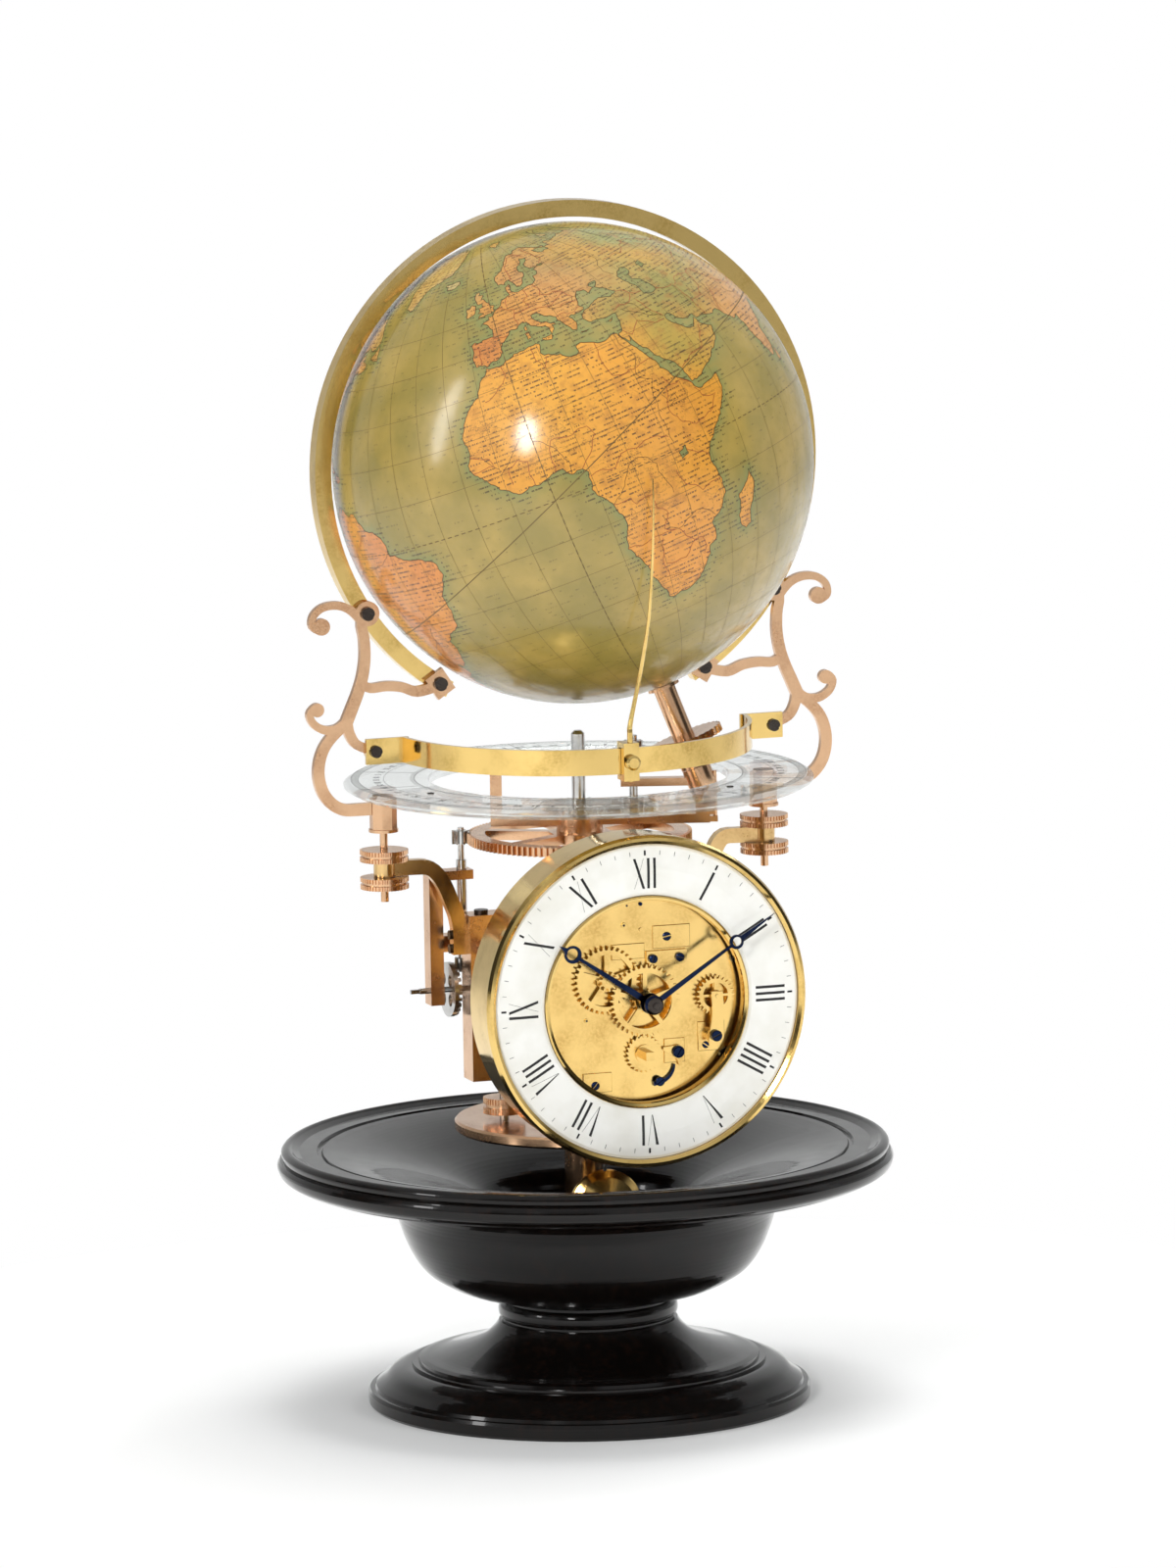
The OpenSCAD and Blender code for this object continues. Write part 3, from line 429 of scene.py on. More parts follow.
@dataclass(frozen=True)
class PlateGlass:
    """Old plate glass, polished, with a green cast towards its edges."""

    name: str = "polished plate glass"
    colour: str = "#eef7f2"

    def build(self) -> bpy.types.Material:
        """Builds the material."""
        s = Shader(self.name)
        s.feed(Base_Color=self.colour, Roughness=0.02, IOR=1.52, Transmission_Weight=1.0, Alpha=0.5)
        s.bump(s.noise(30, 2), 0.02, 0.2)
        return s.material


@dataclass(frozen=True)
class Paint:
    """Flat colour of printers' or dial makers' ink, with slight mottling."""

    name: str
    colour: str
    shade: str
    rough: float = 0.4

    def build(self) -> bpy.types.Material:
        """Builds the material."""
        s = Shader(self.name)
        s.feed(Base_Color=s.blend(s.noise(0.8, 3), self.colour, self.shade), Roughness=self.rough)
        return s.material


@dataclass(frozen=True)
class PrintedPaper:
    """Printed and hand coloured paper gores under old amber varnish.

    Attributes:
        name: Common name of the finish.
        land: Whether the paper shows land, which is hand coloured.
        colour: Main colour where it is sea.
        faded: Colour of the faded patches.
        shore: Colour of the wash along the coast.
        ink: Colour of the print.
        row_gap: Spacing of the rows of print, in degrees.
    """

    name: str
    land: bool
    colour: str = "#8d7c35"
    faded: str = "#a98f42"
    shore: str = "#71804a"
    ink: str = "#3b2a14"
    row_gap: float = 1.15

    @staticmethod
    def place(s: Shader) -> tuple[bpy.types.NodeSocket, bpy.types.NodeSocket]:
        """Works out the place on the tilted globe.

        Args:
            s: The material being built.

        Returns:
            Longitude and latitude in degrees.
        """
        local = s.add(
            "ShaderNodeMapping",
            {"vector_type": "TEXTURE"},
            Vector=s.space(),
            Location=(0, 0, GLOBE_Z),
            Rotation=GLOBE_TURN.to_euler(),
        )
        parts = s.add("ShaderNodeSeparateXYZ", i0=local.outputs[0]).outputs
        lon = s.math("ARCTAN2", parts[1], parts[0])
        lat = s.math("ARCSINE", s.math("DIVIDE", parts[2], GLOBE_R))
        return s.math("MULTIPLY", lon, 180 / math.pi), s.math("MULTIPLY", lat, 180 / math.pi)

    def paper(
        self, s: Shader, stain: bpy.types.NodeSocket, wash: bpy.types.NodeSocket
    ) -> bpy.types.NodeSocket:
        """Colours the bare paper, with its patches of age and damp.

        Args:
            s: The material being built.
            stain: Pattern of the damp.
            wash: Nearness of the coast.

        Returns:
            The paper's colour.
        """
        aged = s.noise(26, 5)
        if self.land:
            tint = s.add("ShaderNodeVertexColor", {"layer_name": "tint"}).outputs[0]
            paper = s.blend(s.spread(aged, 0.4, 0.7, 0, 0.5), tint, "#d9962c")
            return s.blend(s.spread(stain, 0.5, 0.7, 0, 0.5), paper, "#9a5f26")
        paper = s.blend(s.spread(aged, 0.38, 0.66, 0, 1), self.colour, self.faded)
        paper = s.blend(s.spread(stain, 0.5, 0.75, 0, 0.35), paper, "#8a7c3c")
        return s.blend(s.math("MULTIPLY", wash, 0.7), paper, self.shore)

    def lettering(self, s: Shader, wash: bpy.types.NodeSocket) -> bpy.types.NodeSocket:
        """Sets rows of small dashes that read as names, and hills on land.

        Args:
            s: The material being built.
            wash: Nearness of the coast.

        Returns:
            The share of ink.
        """
        lon, lat = self.place(s)
        rows = s.math("MULTIPLY", lat, 1 / self.row_gap)
        across = s.math("ABSOLUTE", s.math("SUBTRACT", s.math("FRACT", rows), 0.5))
        row = s.math("FLOOR", rows)

        def dashes(along: float, apart: float, detail: float) -> bpy.types.NodeSocket:
            """Makes a pattern that changes along each row and from row to row."""
            x, y = s.math("MULTIPLY", lon, along), s.math("MULTIPLY", row, apart)
            spot = s.add("ShaderNodeCombineXYZ", X=x, Y=y, Z=0.0).outputs[0]
            return s.add("ShaderNodeTexNoise", Vector=spot, Scale=1.0, Detail=detail).outputs[0]

        words, letters = dashes(0.34, 7.3, 1.0), dashes(3.6, 3.1, 0.0)
        if self.land:
            least, crowd = 0.47, s.spread(s.noise(16, 2), 0.36, 0.5, 0.25, 0.85)
        else:
            least, crowd = s.spread(wash, 0.02, 0.25, 0.62, 0.5), s.spread(wash, 0.0, 0.25, 0.3, 0.8)
        word, letter = s.math("GREATER_THAN", words, least), s.math("GREATER_THAN", letters, 0.45)
        stroke = s.math("MULTIPLY", word, letter)
        stroke = s.math("MULTIPLY", stroke, s.spread(across, 0.1, 0.22, 1, 0))
        stroke = s.math("MULTIPLY", stroke, crowd)
        if not self.land:
            return stroke
        ridge = s.spread(s.math("ABSOLUTE", s.math("SUBTRACT", s.noise(6, 4), 0.5)), 0.0, 0.025, 1, 0)
        hatch = s.spread(s.noise(0.5, 2), 0.42, 0.6, 0, 1)
        chains = s.spread(s.noise(24, 2), 0.42, 0.56, 0.1, 0.75)
        hills = s.math("MULTIPLY", s.math("MULTIPLY", ridge, hatch), chains)
        return s.math("MAXIMUM", stroke, hills)

    def build(self) -> bpy.types.Material:
        """Builds the material."""
        s = Shader(self.name)
        stain = s.noise(5, 6)
        wash = s.add("ShaderNodeAttribute", {"attribute_name": "shore"}).outputs["Fac"]
        s.feed(
            Base_Color=s.blend(self.lettering(s, wash), self.paper(s, stain, wash), self.ink),
            Roughness=s.spread(stain, 0.4, 0.7, 0.45, 0.6),
            Coat_Weight=0.9,
            Coat_Roughness=0.16,
            Coat_IOR=1.5,
        )
        s.bump(s.noise(2.2, 4), 0.01, 0.25)
        return s.material


@dataclass(frozen=True)
class BackdropPaper:
    """White paper sweep, matt. It fades to bare white away from the clock, as an overexposed backdrop does.

    Its back is clear, so that a camera behind the sweep still sees the clock.

    Attributes:
        name: Common name of the finish.
        colour: Colour of the paper.
        clear: Distance from the clock's axis, in metres, where the paper is bare white.
    """

    name: str = "matt white backdrop paper"
    colour: str = "#f4f4f3"
    clear: float = 0.42

    def build(self) -> bpy.types.Material:
        """Builds the material."""
        s = Shader(self.name)
        s.feed(Base_Color=self.colour, Roughness=0.8)
        place = s.add("ShaderNodeSeparateXYZ", i0=s.space())
        flat = s.math("MULTIPLY", place.outputs[0], place.outputs[0])
        away = s.math("SQRT", s.math("ADD", flat, s.math("MULTIPLY", place.outputs[1], place.outputs[1])))
        glow = s.add("ShaderNodeEmission", Color=linear("#ffffff"), Strength=1.0)
        ray = s.add("ShaderNodeLightPath").outputs
        seen = s.math("MAXIMUM", ray["Is Camera Ray"], ray["Is Transmission Ray"])
        share = s.math("MULTIPLY", s.spread(away, self.clear * 0.45, self.clear, 0, 1), seen)
        mixed = s.add("ShaderNodeMixShader", i0=share, i1=s.bsdf.outputs[0], i2=glow.outputs[0])
        behind = s.add("ShaderNodeNewGeometry").outputs["Backfacing"]
        clear = s.add("ShaderNodeBsdfTransparent")
        sided = s.add("ShaderNodeMixShader", i0=behind, i1=mixed.outputs[0], i2=clear.outputs[0])
        s.tree.links.new(sided.outputs[0], s.tree.nodes["Material Output"].inputs[0])
        return s.material


@dataclass
class Finishes:
    """All the finishes of the clock, built once."""

    made: dict[str, bpy.types.Material] = field(default_factory=dict)

    def build(self) -> None:
        """Builds every finish."""
        for key, finish in {
            "wood": EbonisedWood(),
            "bronze": TurnedMetal(
                "cast bronze, filed and lacquered", "#dfb48d", "#c2916a", 0.16, 0.3, coat=0.2
            ),
            "yellow": TurnedMetal("cast brass, filed", "#dfba80", "#bd9253", 0.16, 0.3, coat=0.2),
            "brass": TurnedMetal(
                "rolled brass, polished", "#e6c478", "#bf9a4c", 0.07, 0.17, line_depth=0.002, coat=0.2
            ),
            "gilt": TurnedMetal(
                "gilded brass, fine grained", "#efca7e", "#cfa45a", 0.12, 0.24, 0.25, 0.0015
            ),
            "steel": TurnedMetal("polished steel", "#c9c8c6", "#98938c", 0.12, 0.26, line_mm=0.3),
            "blued": TurnedMetal("blued steel", "#1c2742", "#0f1424", 0.17, 0.28, line_mm=0.3),
            "dark": TurnedMetal("oil darkened steel", "#4a4440", "#2a2522", 0.2, 0.36),
            "enamel": Enamel(),
            "glass": PlateGlass(),
            "ink": Paint("black dial enamel", "#0c0b0c", "#161414", 0.25),
            "print": Paint("black print on glass", "#3c3f3e", "#565a58", 0.5),
            "coast_ink": Paint("engraver's black ink", "#3d2a12", "#523a1a", 0.45),
            "line_ink": Paint("engraver's faded ink", "#5d4820", "#6e5729", 0.45),
            "border_ink": Paint("red wash on borders", "#8c3a1e", "#9c5228", 0.45),
            "sea": PrintedPaper("printed sea, olive with age", False),
            "land": PrintedPaper("printed land, hand coloured", True),
        }.items():
            self.made[key] = finish.build()

    def dress(self, obj: bpy.types.Object, key: str) -> bpy.types.Object:
        """Gives an object one finish in all its slots.

        Args:
            obj: The object.
            key: Name of the finish.

        Returns:
            The same object.
        """
        if not obj.material_slots:
            obj.data.materials.append(self.made[key])
        for slot in obj.material_slots:
            slot.material = self.made[key]
        return obj


@dataclass
class MarkRing:
    """A ring of equal marks, laid out by geometry nodes.

    Attributes:
        name: Name of the marks' object.
        count: How many marks go round.
        radius: Radius of the marks' middles.
        length: Size along the radius.
        width: Size round the ring.
        height: Thickness.
        centre: Middle of the ring.
        turn: Turn of the ring's plane, from lying flat.
        lean: Slope of each mark, for a domed face.
        start: Angle of the first mark.
    """

    name: str
    count: int
    radius: float
    length: float
    width: float
    height: float
    centre: tuple[float, float, float]
    turn: tuple[float, float, float] = (0.0, 0.0, 0.0)
    lean: float = 0.0
    start: float = 0.0

    @staticmethod
    def group() -> bpy.types.NodeTree:
        """Builds the node group that lays out the marks.

        Returns:
            The shared geometry node group.
        """
        if "ring of marks" in bpy.data.node_groups:
            return bpy.data.node_groups["ring of marks"]
        sockets = {
            "Count": "Int",
            "Radius": "Float",
            "Mark Size": "Vector",
            "Centre": "Vector",
            "Turn": "Rotation",
            "Lean": "Float",
            "Start": "Float",
            "Material": "Material",
        }
        tree, given = opened_group("ring of marks", sockets)
        work = partial(calc, tree)
        index = add_node(tree, "GeometryNodeInputIndex").outputs[0]
        turned = work("MULTIPLY", work("DIVIDE", index, given["Count"]), math.tau)
        angle = work("ADD", turned, given["Start"])
        x, y = (work("MULTIPLY", work(side, angle), given["Radius"]) for side in ("SINE", "COSINE"))
        spot = add_node(tree, "ShaderNodeCombineXYZ", X=x, Y=y)
        points = add_node(tree, "GeometryNodePoints", Count=given["Count"], Position=spot.outputs[0])
        facing = add_node(tree, "ShaderNodeCombineXYZ", X=given["Lean"], Z=work("MULTIPLY", angle, -1.0))
        spin = add_node(tree, "FunctionNodeEulerToRotation", Euler=facing.outputs[0])
        block = add_node(tree, "GeometryNodeMeshCube", Size=given["Mark Size"])
        laid = add_node(
            tree,
            "GeometryNodeInstanceOnPoints",
            Points=points.outputs[0],
            Instance=block.outputs[0],
            Rotation=spin.outputs[0],
        )
        put = add_node(
            tree,
            "GeometryNodeTransform",
            Geometry=laid.outputs[0],
            Translation=given["Centre"],
            Rotation=given["Turn"],
        )
        return closed_group(tree, put.outputs[0], given["Material"])

    def build(self, material: bpy.types.Material) -> bpy.types.Object:
        """Builds the marks as one plain mesh.

        Args:
            material: Finish of the marks.

        Returns:
            The marks' object.
        """
        values = {
            "Count": self.count,
            "Radius": self.radius,
            "Mark Size": (self.width, self.length, self.height),
            "Centre": self.centre,
            "Turn": self.turn,
            "Lean": self.lean,
            "Start": self.start,
            "Material": material,
        }
        return grown(self.name, self.group(), values)


@dataclass
class Dial:
    """Numerals and minute track fired on the white enamel ring.

    The black has worn thin, so the hairlines of the numerals barely show. All sizes are in millimetres.

    Attributes:
        finishes: The clock's finishes.
        thick: Width of a numeral's thick strokes.
        hair: Width of its thin strokes.
        inner: Radius of the numerals' feet.
        outer: Radius of their heads.
        pitch: Room that an I takes up.
        wide: Room that a V or X takes up.
        lift: Height of the numerals above the enamel.
        track_r: Radius of the minute track's middle.
        mark_height: Thickness of its marks.
    """

    finishes: Finishes
    thick: float = 1.15
    hair: float = 0.13
    inner: float = 48.6
    outer: float = 61.6
    pitch: float = 2.75
    wide: float = 5.6
    lift: float = 0.045
    track_r: float = 63.9
    mark_height: float = 0.14

    @staticmethod
    def surface(r: float) -> float:
        """Gives the height of the enamel's face at a radius, in millimetres."""
        table = ((45.7, 2.2), (47, 2.7), (57, 3), (66.3, 2.6))
        for (a, ha), (b, hb) in zip(table, table[1:]):
            if r <= b:
                return ha + (hb - ha) * (r - a) / (b - a)
        return table[-1][1]

    def place(self, angle: float, across: float, out: float, lift: float) -> Vector:
        """Puts a point of a numeral on the domed enamel.

        Args:
            angle: Clock angle of the numeral's middle.
            across: Distance clockwise of the middle line.
            out: Distance from the dial's centre along the middle line.
            lift: Height above the enamel.

        Returns:
            The point in the clock's frame.
        """
        x = out * math.sin(angle) + across * math.cos(angle)
        z = out * math.cos(angle) - across * math.sin(angle)
        y = -(ENAMEL_Y + self.surface(math.hypot(across, out)) + lift)
        return Vector((x * MM, y * MM, DIAL_Z + z * MM))

    def strokes(self, numeral: str) -> list[tuple[float, float, float, float]]:
        """Lists the strokes of a numeral.

        Args:
            numeral: Roman numeral.

        Returns:
            Each stroke's foot, head and its widths there.
        """
        widths = {"I": self.pitch, "V": self.wide, "X": self.wide}
        start = -sum(widths[c] for c in numeral) / 2
        out: list[tuple[float, float, float, float]] = []
        for letter in numeral:
            left, right = start + 0.75, start + widths[letter] - 0.75
            middle = (left + right) / 2
            if letter == "I":
                out.append((middle, middle, self.thick, self.thick))
            elif letter == "V":
                out.append((middle, left, self.thick * 0.25, self.thick * 1.1))
                out.append((middle + 0.2, right, self.hair, self.hair))
            else:
                out.append((right, left, self.thick, self.thick))
                out.append((left, right, self.hair, self.hair))
            start += widths[letter]
        return out

    def numerals(self) -> bpy.types.Object:
        """Builds all twelve numerals as low slabs on the enamel."""
        shape = bmesh.new()
        steps = 6
        for hour, numeral in enumerate("XII I II III IIII V VI VII VIII IX X XI".split()):
            for order, (foot, head, foot_w, head_w) in enumerate(self.strokes(numeral)):
                rings = []
                for i in range(steps + 1):
                    share = i / steps
                    out = self.inner + (self.outer - self.inner) * share
                    middle = foot + (head - foot) * share
                    half = (foot_w + (head_w - foot_w) * share) / 2
                    top = self.lift - 0.004 * (order % 4)
                    corners = ((-half, -0.05), (half, -0.05), (half, top), (-half, top))
                    spots = [self.place(math.tau * hour / 12, middle + a, out, h) for a, h in corners]
                    rings.append([shape.verts.new(spot) for spot in spots])
                sheathe(shape, rings)
        bmesh.ops.recalc_face_normals(shape, faces=shape.faces)
        return self.finishes.dress(shaped("dial_numerals", shape), "ink")

    def track(self, name: str, count: int, length: float, width: float) -> bpy.types.Object:
        """Builds one set of the minute track's marks.

        Args:
            name: Name of the object.
            count: Marks round the dial.
            length: Length of a mark in millimetres.
            width: Width of a mark in millimetres.

        Returns:
            The marks' object.
        """
        middle = Vector((0, -(ENAMEL_Y + self.surface(self.track_r) - 0.02) * MM, DIAL_Z))
        upright = (math.pi / 2, 0, 0)
        fall = self.surface(self.track_r - 1) - self.surface(self.track_r)
        sizes = (self.track_r * MM, length * MM, width * MM, self.mark_height * MM)
        ring = MarkRing(name, count, *sizes, tuple(middle), upright, -math.atan(fall))
        return ring.build(self.finishes.made["ink"])

    def build(self) -> list[bpy.types.Object]:
        """Builds numerals and track."""
        made = [
            self.numerals(),
            self.track("dial_minute_marks", 60, 1.9, 0.2),
            self.track("dial_hour_marks", 12, 2.2, 0.85),
        ]
        for piece in made:
            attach(piece, "stand")
        return made


@dataclass
class Calendar:
    """Calendar printed on the glass ring: day marks, divisions and plain numbers.

    Attributes:
        finishes: The clock's finishes.
        top: Height of the glass ring's face, in millimetres.
        dip: Depth of the print's foot in the glass.
        number_r: Radius of the numbers' feet.
        segments: Corners of a printed circle.
    """

    finishes: Finishes
    top: float = GLASS_TOP
    dip: float = 0.02
    number_r: float = 88.2
    segments: int = 240

    def circle(self, radius: float, width: float, name: str) -> bpy.types.Object:
        """Builds a thin printed circle.

        Args:
            radius: Radius in millimetres.
            width: Width of the line in millimetres.
            name: Name of the object.

        Returns:
            The circle's object.
        """
        shape = bmesh.new()
        section = ((-1, -self.dip), (1, -self.dip), (1, 0.05), (-1, 0.05))
        rows = []
        for k in range(self.segments):
            a = math.tau * k / self.segments
            corners = [(radius + s * width / 2, self.top + h) for s, h in section]
            spots = [Vector((r * math.sin(a), r * math.cos(a), z)) * MM for r, z in corners]
            rows.append([shape.verts.new(spot) for spot in spots])
        sheathe(shape, rows, closed=True)
        bmesh.ops.recalc_face_normals(shape, faces=shape.faces)
        return self.finishes.dress(shaped(name, shape), "print")

    def numbers(self) -> bpy.types.Object:
        """Builds the plain numbers at every fifth day and at the end of each month."""
        font = bpy.data.curves.new("number", "FONT")
        font.size = 4.2 * MM
        font.align_x = "CENTER"
        font.extrude = 0.03 * MM
        font.resolution_u = 2
        holder = shown("number", font)
        shape = bmesh.new()
        inward = Matrix.Translation(Vector((0, -self.number_r, self.top + self.dip)) * MM)
        for month, length in enumerate(MONTH_DAYS):
            for day in (*range(5, length - 2, 5), length):
                font.body = str(day)
                bpy.context.view_layer.update()
                piece = bpy.data.meshes.new_from_object(
                    holder.evaluated_get(bpy.context.evaluated_depsgraph_get())
                )
                angle = math.tau * (sum(MONTH_DAYS[:month]) + day) / sum(MONTH_DAYS)
                piece.transform(Matrix.Rotation(angle, 4, "Z") @ inward)
                shape.from_mesh(piece)
                bpy.data.meshes.remove(piece)
        bpy.data.objects.remove(holder)
        bmesh.ops.remove_doubles(shape, verts=shape.verts, dist=0.001 * MM)
        return self.finishes.dress(shaped("calendar_numbers", shape), "print")

    def build(self) -> list[bpy.types.Object]:
        """Builds every printed piece of the calendar."""

        def marks(name: str, count: int, inner: float, outer: float, width: float) -> bpy.types.Object:
            """Builds a ring of marks between two radii."""
            sizes = ((inner + outer) / 2 * MM, (outer - inner) * MM, width * MM, 0.08 * MM)
            return MarkRing(name, count, *sizes, (0, 0, self.top * MM)).build(self.finishes.made["print"])

        outer, days, middle, inner = 97.6, 94.4, 83.6, 70.4
        made = [
            self.circle(outer, 0.22, "calendar_outer_line"),
            self.circle(days, 0.16, "calendar_day_line"),
            self.circle(middle, 0.16, "calendar_middle_line"),
            self.circle(inner, 0.22, "calendar_inner_line"),
            marks("calendar_day_marks", sum(MONTH_DAYS), days, outer, 0.18),
            marks("calendar_month_marks", 12, middle, outer, 0.35),
            marks("calendar_fine_marks", 180, inner, inner + 2, 0.2),
            marks("calendar_sign_marks", 12, inner, middle, 0.25),
            self.numbers(),
        ]
        for piece in made:
            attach(piece, "stand")
        return made


@dataclass
class Fittings:
    """Small work that shows up close: slotted screw tops, thin cock plates, pins and the hands' collet.

    Attributes:
        finishes: The clock's finishes.
        face: Place in y of the front plate's face, in millimetres.
        plate_thick: Thickness of the thin plates on it.
        slot: Half the width of a screw's slot, for a screw of radius one.
    """

    finishes: Finishes
    face: float = -80.0
    plate_thick: float = 0.6
    slot: float = 0.14

    def slotted_top(self) -> bpy.types.Object:
        """Builds both halves of a screw's top, of radius one millimetre, facing up."""
        shape = bmesh.new()
        steps, height = 14, 0.5
        start = math.asin(self.slot)
        angles = [start + (math.pi - 2 * start) * k / steps for k in range(steps + 1)]
        for side in (-1, 1):
            rings = []
            for r, h in ((1.0, 0.0), (1.0, height * 0.65), (0.86, height)):
                outline = [(r * math.cos(a), r * math.sin(a)) for a in angles]
                outline[0] = (math.sqrt(r * r - self.slot**2), self.slot)
                outline[-1] = (-outline[0][0], self.slot)
                rings.append([shape.verts.new(Vector((x * side, y * side, h)) * MM) for x, y in outline])
            sheathe(shape, rings)
        bmesh.ops.recalc_face_normals(shape, faces=shape.faces)
        return shaped("slotted_top", shape)

    @staticmethod
    def group() -> bpy.types.NodeTree:
        """Builds the node group that sets a screw top on every point.

        Returns:
            The geometry node group.
        """
        sockets = {"Points": "Geometry", "Head": "Object", "Facing": "Vector", "Material": "Material"}
        tree, given = opened_group("slotted tops", sockets)
        size, spin = (
            add_node(tree, "GeometryNodeInputNamedAttribute", {"data_type": "FLOAT"}, Name=name).outputs[0]
            for name in ("head_radius", "head_spin")
        )
        turn = add_node(tree, "ShaderNodeCombineXYZ", Z=spin)
        slot_turn = add_node(tree, "FunctionNodeEulerToRotation", Euler=turn.outputs[0])
        upright = add_node(tree, "FunctionNodeEulerToRotation", Euler=given["Facing"])
        both = add_node(
            tree,
            "FunctionNodeRotateRotation",
            {"rotation_space": "LOCAL"},
            i0=upright.outputs[0],
            i1=slot_turn.outputs[0],
        )
        head = add_node(tree, "GeometryNodeObjectInfo", Object=given["Head"])
        wide = add_node(tree, "ShaderNodeCombineXYZ", X=size, Y=size, Z=1.0)
        laid = add_node(
            tree,
            "GeometryNodeInstanceOnPoints",
            Points=given["Points"],
            Instance=head.outputs["Geometry"],
            Rotation=both.outputs[0],
            Scale=wide.outputs[0],
        )
        return closed_group(tree, laid.outputs[0], given["Material"])

    def screws(
        self, name: str, spots: Sequence[Sequence[float]], facing: tuple[float, float, float], finish: str
    ) -> bpy.types.Object:
        """Sets slotted tops at a list of places.

        Args:
            name: Name of the screws' object.
            spots: Place in millimetres, radius in millimetres and slot angle in degrees of each.
            facing: Turn that points an upright screw the right way.
            finish: Name of the finish.

        Returns:
            The screws' object.
        """
        base = bpy.data.meshes.new(name + "_spots")
        base.from_pydata([Vector(s[:3]) * MM for s in spots], [], [])
        radii, spins = [s[3] for s in spots], [math.radians(s[4]) for s in spots]
        for attribute, numbers in (("head_radius", radii), ("head_spin", spins)):
            base.attributes.new(attribute, "FLOAT", "POINT").data.foreach_set("value", numbers)
        head = self.slotted_top()
        group = bpy.data.node_groups.get("slotted tops") or self.group()
        values = {"Head": head, "Facing": facing, "Material": self.finishes.made[finish]}
        obj = grown(name, group, values, base)
        bpy.data.objects.remove(head)
        return obj

    def plates(self) -> bpy.types.Object:
        """Builds the thin chamfered plates on the front plate."""
        shape = bmesh.new()
        plates = (
            (-13.4, 17.7, 1.4, 24.3),
            (5.2, 21.4, 21.8, 31.2),
            (-27.0, -38.6, -14.2, -30.2),
            (9.4, -28.0, 18.6, -17.6),
            (24.6, -24.0, 36.6, -11.4),
        )
        for x0, z0, x1, z1 in plates:
            back, front = self.face + 0.05, self.face - self.plate_thick
            rings = []
            for y, inset in ((back, 0.0), (front + 0.2, 0.0), (front, 0.2)):
                a, b, c, d = x0 + inset, x1 - inset, z0 + inset, z1 - inset
                corners = ((a, c), (b, c), (b, d), (a, d))
                rings.append([shape.verts.new(Vector((x, y, DIAL_Z / MM + z)) * MM) for x, z in corners])
            sheathe(shape, rings)
        bmesh.ops.recalc_face_normals(shape, faces=shape.faces)
        return self.finishes.dress(shaped("front_cock_plates", shape), "gilt")

    def discs(self, name: str, spots: Sequence[Sequence[float]], finish: str) -> bpy.types.Object:
        """Builds small round pins that face forwards.

        Args:
            name: Name of the object.
            spots: Place in x and z from the dial's middle, back, front and radius, all in millimetres.
            finish: Name of the finish.

        Returns:
            The pins' object.
        """
        shape = bmesh.new()
        upright = Matrix.Rotation(math.pi / 2, 4, "X")
        for x, z, back, front, radius in spots:
            middle = Matrix.Translation(Vector((x, (back + front) / 2, DIAL_Z / MM + z)) * MM)
            sizes = {"radius1": radius * MM, "radius2": radius * 0.86 * MM, "depth": (back - front) * MM}
            bmesh.ops.create_cone(shape, cap_ends=True, segments=24, matrix=middle @ upright, **sizes)
        bmesh.ops.recalc_face_normals(shape, faces=shape.faces)
        return self.finishes.dress(shaped(name, shape), finish)

    def build(self) -> list[bpy.types.Object]:
        """Builds every small fitting."""
        face, plate, z = self.face, self.face - self.plate_thick, DIAL_Z / MM
        tops = (
            (30.9, -87.0, z - 16.8, 2.4, 25),
            (4.6, -82.6, z + 17.4, 1.9, 70),
            (16.6, -82.6, z + 17.4, 1.9, -20),
            (11.4, plate, z + 26.4, 1.9, 10),
            (-21.6, plate, z - 35.6, 1.8, 48),
            (6.7, -82.6, z - 35.4, 2.0, 35),
            (15.1, -83.2, z - 23.2, 2.3, 60),
            (28.0, plate, z - 21.4, 1.5, -35),
        )
        ring_tops = ((-74.0, -23.2, GLASS_TOP, 1.5, 30), (48.2, -59.4, GLASS_TOP, 1.5, -50))
        pins = ((-7.6, 32.3, face + 0.1, face - 0.5, 1.25), (-25, -7.5, face + 0.1, face - 0.6, 1.0))
        ends = (
            (-7.6, 32.3, face, face - 0.62, 0.6),
            (-25, -7.5, face, face - 0.75, 0.55),
            (-6, 40.6, face, face - 0.3, 0.5),
        )
        fixed = [
            self.screws("plate_screw_tops", tops, (math.pi / 2, 0.0, 0.0), "blued"),
            self.screws("calendar_screw_tops", ring_tops, (0.0, 0.0, 0.0), "dark"),
            self.plates(),
            self.discs("plate_pins", pins, "brass"),
            self.discs("plate_pin_ends", ends, "dark"),
        ]
        for piece in fixed:
            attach(piece, "stand")
        collet = self.discs("hand_collet", ((0, 0, -98.2, -98.75, 3.5), (0, 0, -98.6, -99.15, 1.5)), "dark")
        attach(collet, "centre_arbor")
        return [*fixed, collet]


